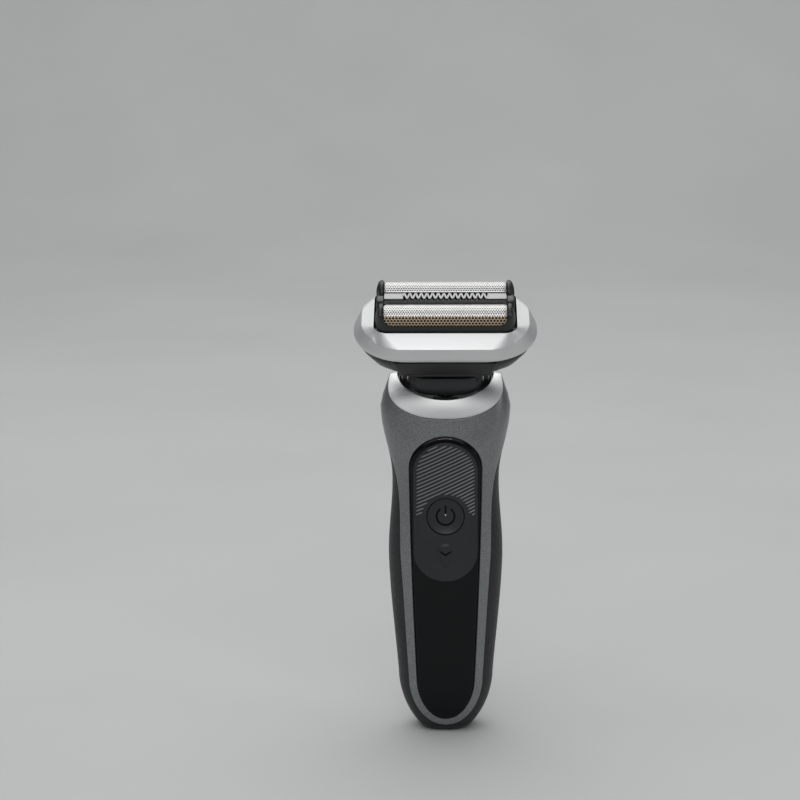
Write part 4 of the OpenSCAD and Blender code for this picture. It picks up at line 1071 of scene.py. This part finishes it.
def foilPiece(name, y, look, body, node):
    straight = foil["z"] - foil["low"]
    total = 2*straight + pi*foil["r"]

    def place(u, v):
        x = mix(-foil["half"], foil["half"], u)
        s = v*total
        # the ends turn in a little
        r = foil["r"] - foil["turnIn"]*smooth((abs(x) - foil["half"] + foil["turnOver"])/foil["turnOver"])
        if s < straight:
            return Vector((x, y - r, foil["low"] + s))
        if s > total - straight:
            return Vector((x, y + r, foil["low"] + total - s))
        a = (s - straight)/foil["r"]
        return Vector((x, y - r*cos(a), foil["z"] + r*sin(a)))

    piece = shapedGrid(60, 48, place)
    layer = piece.data.uv_layers.active or piece.data.uv_layers.new(name="wrap")
    for corner in piece.data.loops:
        point = piece.data.vertices[corner.vertex_index].co
        if point.z <= foil["z"]:
            s = point.z - foil["low"] if point.y < y else total - (point.z - foil["low"])
        else:
            s = straight + foil["r"]*atan2(point.z - foil["z"], y - point.y)
        layer.data[corner.index].uv = (point.x/wrapScale + 0.5, s/wrapScale)
    thicken(piece, foil["thick"])
    steel = foilMaterial(name + "Steel", look)
    finishPiece(piece, name, body, "foil_steel", steel, inHead=True, angle=60)
    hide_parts(node)


def carrierPiece(name, y, side, body, node):
    c = carrier
    height = foil["z"] - c["low"]
    top = 2*height + pi*c["r"]  # way over the carrier from one lower edge to the other

    def outline(k, outer):
        # half of the U from the middle of the wall, round the corner and over the cap
        x1, r = (c["outer"], c["outerR"]) if outer else (c["inner"], c["innerR"])
        s0 = 0 if outer else c["window"] - c["low"]
        if k < 0.3:
            return mix(0, x1 - r, k/0.3), s0
        if k < 0.45:
            a = pi/2*(k - 0.3)/0.15
            return x1 - r + r*sin(a), s0 + r*(1 - cos(a))
        return x1, mix(s0 + r, top - 0.3, (k - 0.45)/0.55)

    def wrap(x, s, t):
        # a point x along and s over the carrier, t from its window out, in a rounded section
        r = c["r"] - c["wall"] + c["belly"]*sin(pi*min(1, 0.12 + 0.8*t))
        a = min(pi, max(0, (s - height)/c["r"]))
        z = c["low"] + min(s, top - s) if a in (0, pi) else foil["z"] + r*sin(a)
        # the ends curve back to pass the ring's round corners
        reach = c["turnY"] + sqrt(max(0, c["turnR"]**2 - max(0, abs(x) - c["turnX"])**2))
        return Vector((x, max(-reach, min(reach, y + side*r*cos(a))), z))

    def place(u, v):
        turn, k = (1, 2*v - 1) if v >= 0.5 else (-1, 1 - 2*v)
        (x0, s0), (x1, s1) = outline(k, False), outline(k, True)
        x1 -= c["lean"]*smooth((s1 - height)/5)*smooth((top - height - s1)/4 + 0.4)  # leans in over the top
        if u <= 0.6:
            return wrap(turn*mix(x0, x1, u/0.6), mix(s0, s1, u/0.6), u/0.6)
        edge = wrap(turn*x1, s1, 1)
        inner = Vector((turn*x1, y, min(foil["z"], max(c["low"] + 0.3, edge.z))))
        under = edge + Vector((0, -side*1.2, 0))
        return edge.lerp(under.lerp(inner, smooth((k - 0.36)/0.1)), (u - 0.6)/0.4)

    piece = shapedGrid(15, 200, place)
    lookTowards(piece, 0, side, 1)
    thicken(piece, c["wall"])
    roundEdges(piece, 0.3, 50, 3)
    finishPiece(piece, name, body, "black_plastic", inHead=True, angle=45)
    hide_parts(node)


trimmer = {"z": 31.6, "half": 20.4}
comb = {"half": 14.25, "peaks": 15, "y0": -1.15, "y1": 2.2, "width": 0.62, "thick": 0.45,
        "endX": 14.1, "endY": (-1.35, 2.1)}
guard = {"ribPitch": 0.95, "ribLean": 46, "ribPlace": (0, -1.85, 31.25), "ribHalf": (0.2, 0.18, 0.5),
         # section of the front: ribbed slope, lip, wall
         "section": [(-0.95, 31.3), (-1.45, 31.5), (-2.15, 30.85), (-2.4, 30.75), (-2.4, 30.35),
                     (-2.1, 30.2), (-2.1, 24.4), (-1.5, 24.4), (-1.5, 30.2), (-0.95, 31.3)],
         # front, back, low, top, edge and its segments: the rear wall, the dark edge behind the teeth
         "walls": [(1.0, 1.65, 24.4, 31.2, 0.15, 2), (2.28, 2.5, 26.5, 32.25, 0.05, 1)],
         # the same after the near and far end: the block and the step at each side
         "blocks": [(20.35, 23.2, -2.35, 1.75, 24.2, 31.7, 0.75, 4),
                    (18.4, 22.4, -2.45, -1.45, 30.2, 30.95, 0.3, 3)]}


def trimmerComb():
    top = trimmer["z"] + 0.5

    def centre(v):
        # the zigzag's middle line, its turns a little rounded
        wave = asin(0.96*sin(v*comb["peaks"]*2*pi))/asin(0.96)
        y = mix(comb["y0"], comb["y1"], 0.5 + 0.5*wave)
        return Vector((mix(-comb["half"], comb["half"], v), y, top))

    def place(u, v):
        way = (centre(min(1, v + 0.001)) - centre(max(0, v - 0.001))).normalized()
        return centre(v) - Vector((way.y, -way.x, 0))*(u - 0.5)*comb["width"]

    strip = shapedGrid(2, comb["peaks"]*12, place)
    lookTowards(strip, 0, 0, 1)
    thicken(strip, comb["thick"])
    (y0, y1), near, far = comb["endY"], comb["endX"], foil["half"]
    ends = [softBox((low, y0, trimmer["z"]), (high, y1, top), 0.12)
            for low, high in ((-far, -near), (near, far))]
    piece = finishPiece(joinAll([strip] + ends), "trimmerComb", "trimmer_unit", "foil_steel",
                        materials["comb_steel"], inHead=True)
    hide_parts("trimmer_comb")


def trimmerGuard():
    section, half = guard["section"], trimmer["half"]
    wall = shapedGrid(8, len(section) - 1, lambda u, v: Vector(
        (mix(-half, half, u), *section[min(len(section) - 1, round(v*(len(section) - 1)))])))
    mergePoints(wall)
    closeRims(wall, bpy.ops.mesh.edge_face_add)
    parts = [wall]
    rib = softBox([-size for size in guard["ribHalf"]], guard["ribHalf"], 0.08, 1)
    pickUp(rib)
    rib.rotation_euler = (radians(-guard["ribLean"]), 0, 0)
    rib.location = guard["ribPlace"]
    fixPlace()
    for i in range(-20, 21):
        copy = rib.copy()
        copy.data = rib.data.copy()
        copy.data.transform(Matrix.Translation((i*guard["ribPitch"], 0, 0)))
        bpy.context.collection.objects.link(copy)
        parts.append(copy)
    bpy.data.objects.remove(rib)
    for y0, y1, z0, z1, edge, segments in guard["walls"]:
        parts.append(softBox((-half, y0, z0), (half, y1, z1), edge, segments))
    for side in (-1, 1):
        for x0, x1, y0, y1, z0, z1, edge, segments in guard["blocks"]:
            near, far = sorted((side*x0, side*x1))
            parts.append(softBox((near, y0, z0), (far, y1, z1), edge, segments))
    piece = finishPiece(joinAll(parts), "trimmerGuard", "trimmer_unit", "black_plastic", inHead=True)
    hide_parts("trimmer_guard")


foilPiece("frontFoil", foil["front"], frontFoilLook, "front_unit", "front_foil")
foilPiece("rearFoil", foil["rear"], rearFoilLook, "rear_unit", "rear_foil")
carrierPiece("frontCarrier", foil["front"], -1, "front_unit", "front_carrier")
carrierPiece("rearCarrier", foil["rear"], 1, "rear_unit", "rear_carrier")
trimmerComb()
trimmerGuard()
print("cassette done")


studio = {"near": -1.6, "bend": 1.3, "radius": 0.9, "half": 3.0, "top": 3.2,
          "dark": (0.47, 0.47, 0.467), "pale": (0.50, 0.50, 0.497), "air": (0.9, 0.94, 1.0, 1),
          "airPower": 0.2}


def floorSweep():
    s = studio
    flat, arc, rise = s["bend"] - s["near"], pi/2*s["radius"], s["top"] - s["radius"]
    total = flat + arc + rise

    def place(u, v):
        x, t = mix(-s["half"], s["half"], u), v*total
        if t < flat:
            return Vector((x, s["near"] + t, 0))
        if t < flat + arc:
            a = (t - flat)/s["radius"]
            return Vector((x, s["bend"] + s["radius"]*sin(a), s["radius"]*(1 - cos(a))))
        return Vector((x, s["bend"] + s["radius"], s["radius"] + t - flat - arc))

    floor = shapedGrid(4, 80, place)
    floor.name = "floor"
    bpy.ops.object.shade_smooth()
    material, tree, shader = startMaterial("paleFloor")
    cloud = rangeOf(tree, noiseOf(tree, addNode(tree, "TexCoord", {})["Object"], 5, 3), 0, 1)
    tree.links.new(blendOf(tree, cloud, s["dark"], s["pale"]), shader["Base Color"])
    shader["Roughness"].default_value = 0.7
    floor.data.materials.append(material)


def softLight(name, place, aim, size, power):
    letGo()
    bpy.ops.object.light_add(type="AREA", location=place)
    light = bpy.context.object
    light.name = name
    light.rotation_euler = (Vector(aim) - Vector(place)).to_track_quat("-Z", "Y").to_euler()
    light.data.shape = "RECTANGLE"
    light.data.size, light.data.size_y = size
    light.data.energy = power


floorSweep()
softLight("topLight", (-0.1, 0.1, 1.15), (0, 0, 0.1), (1.3, 1.0), 8)
softLight("frontLight", (-0.1, -0.95, 0.85), (0, 0, 0.12), (1.7, 0.8), 4)
softLight("backLight", (0, 1.35, 1.5), (0, 1.35, 0), (2.8, 1.3), 16)
softLight("sideLight", (1.2, -0.3, 0.5), (0, 0, 0.09), (0.4, 0.8), 1.2)
softLight("stripLight", (-0.02, -1.0, 0.68), (0, 0, 0.1), (0.34, 0.03), 1.3)
world = bpy.data.worlds.new("studioAir")
world.use_nodes = True
air = world.node_tree.nodes["Background"].inputs
air["Color"].default_value = studio["air"]
air["Strength"].default_value = studio["airPower"]
bpy.context.scene.world = world
bpy.context.scene.view_settings.view_transform = "Standard"
print("studio done")
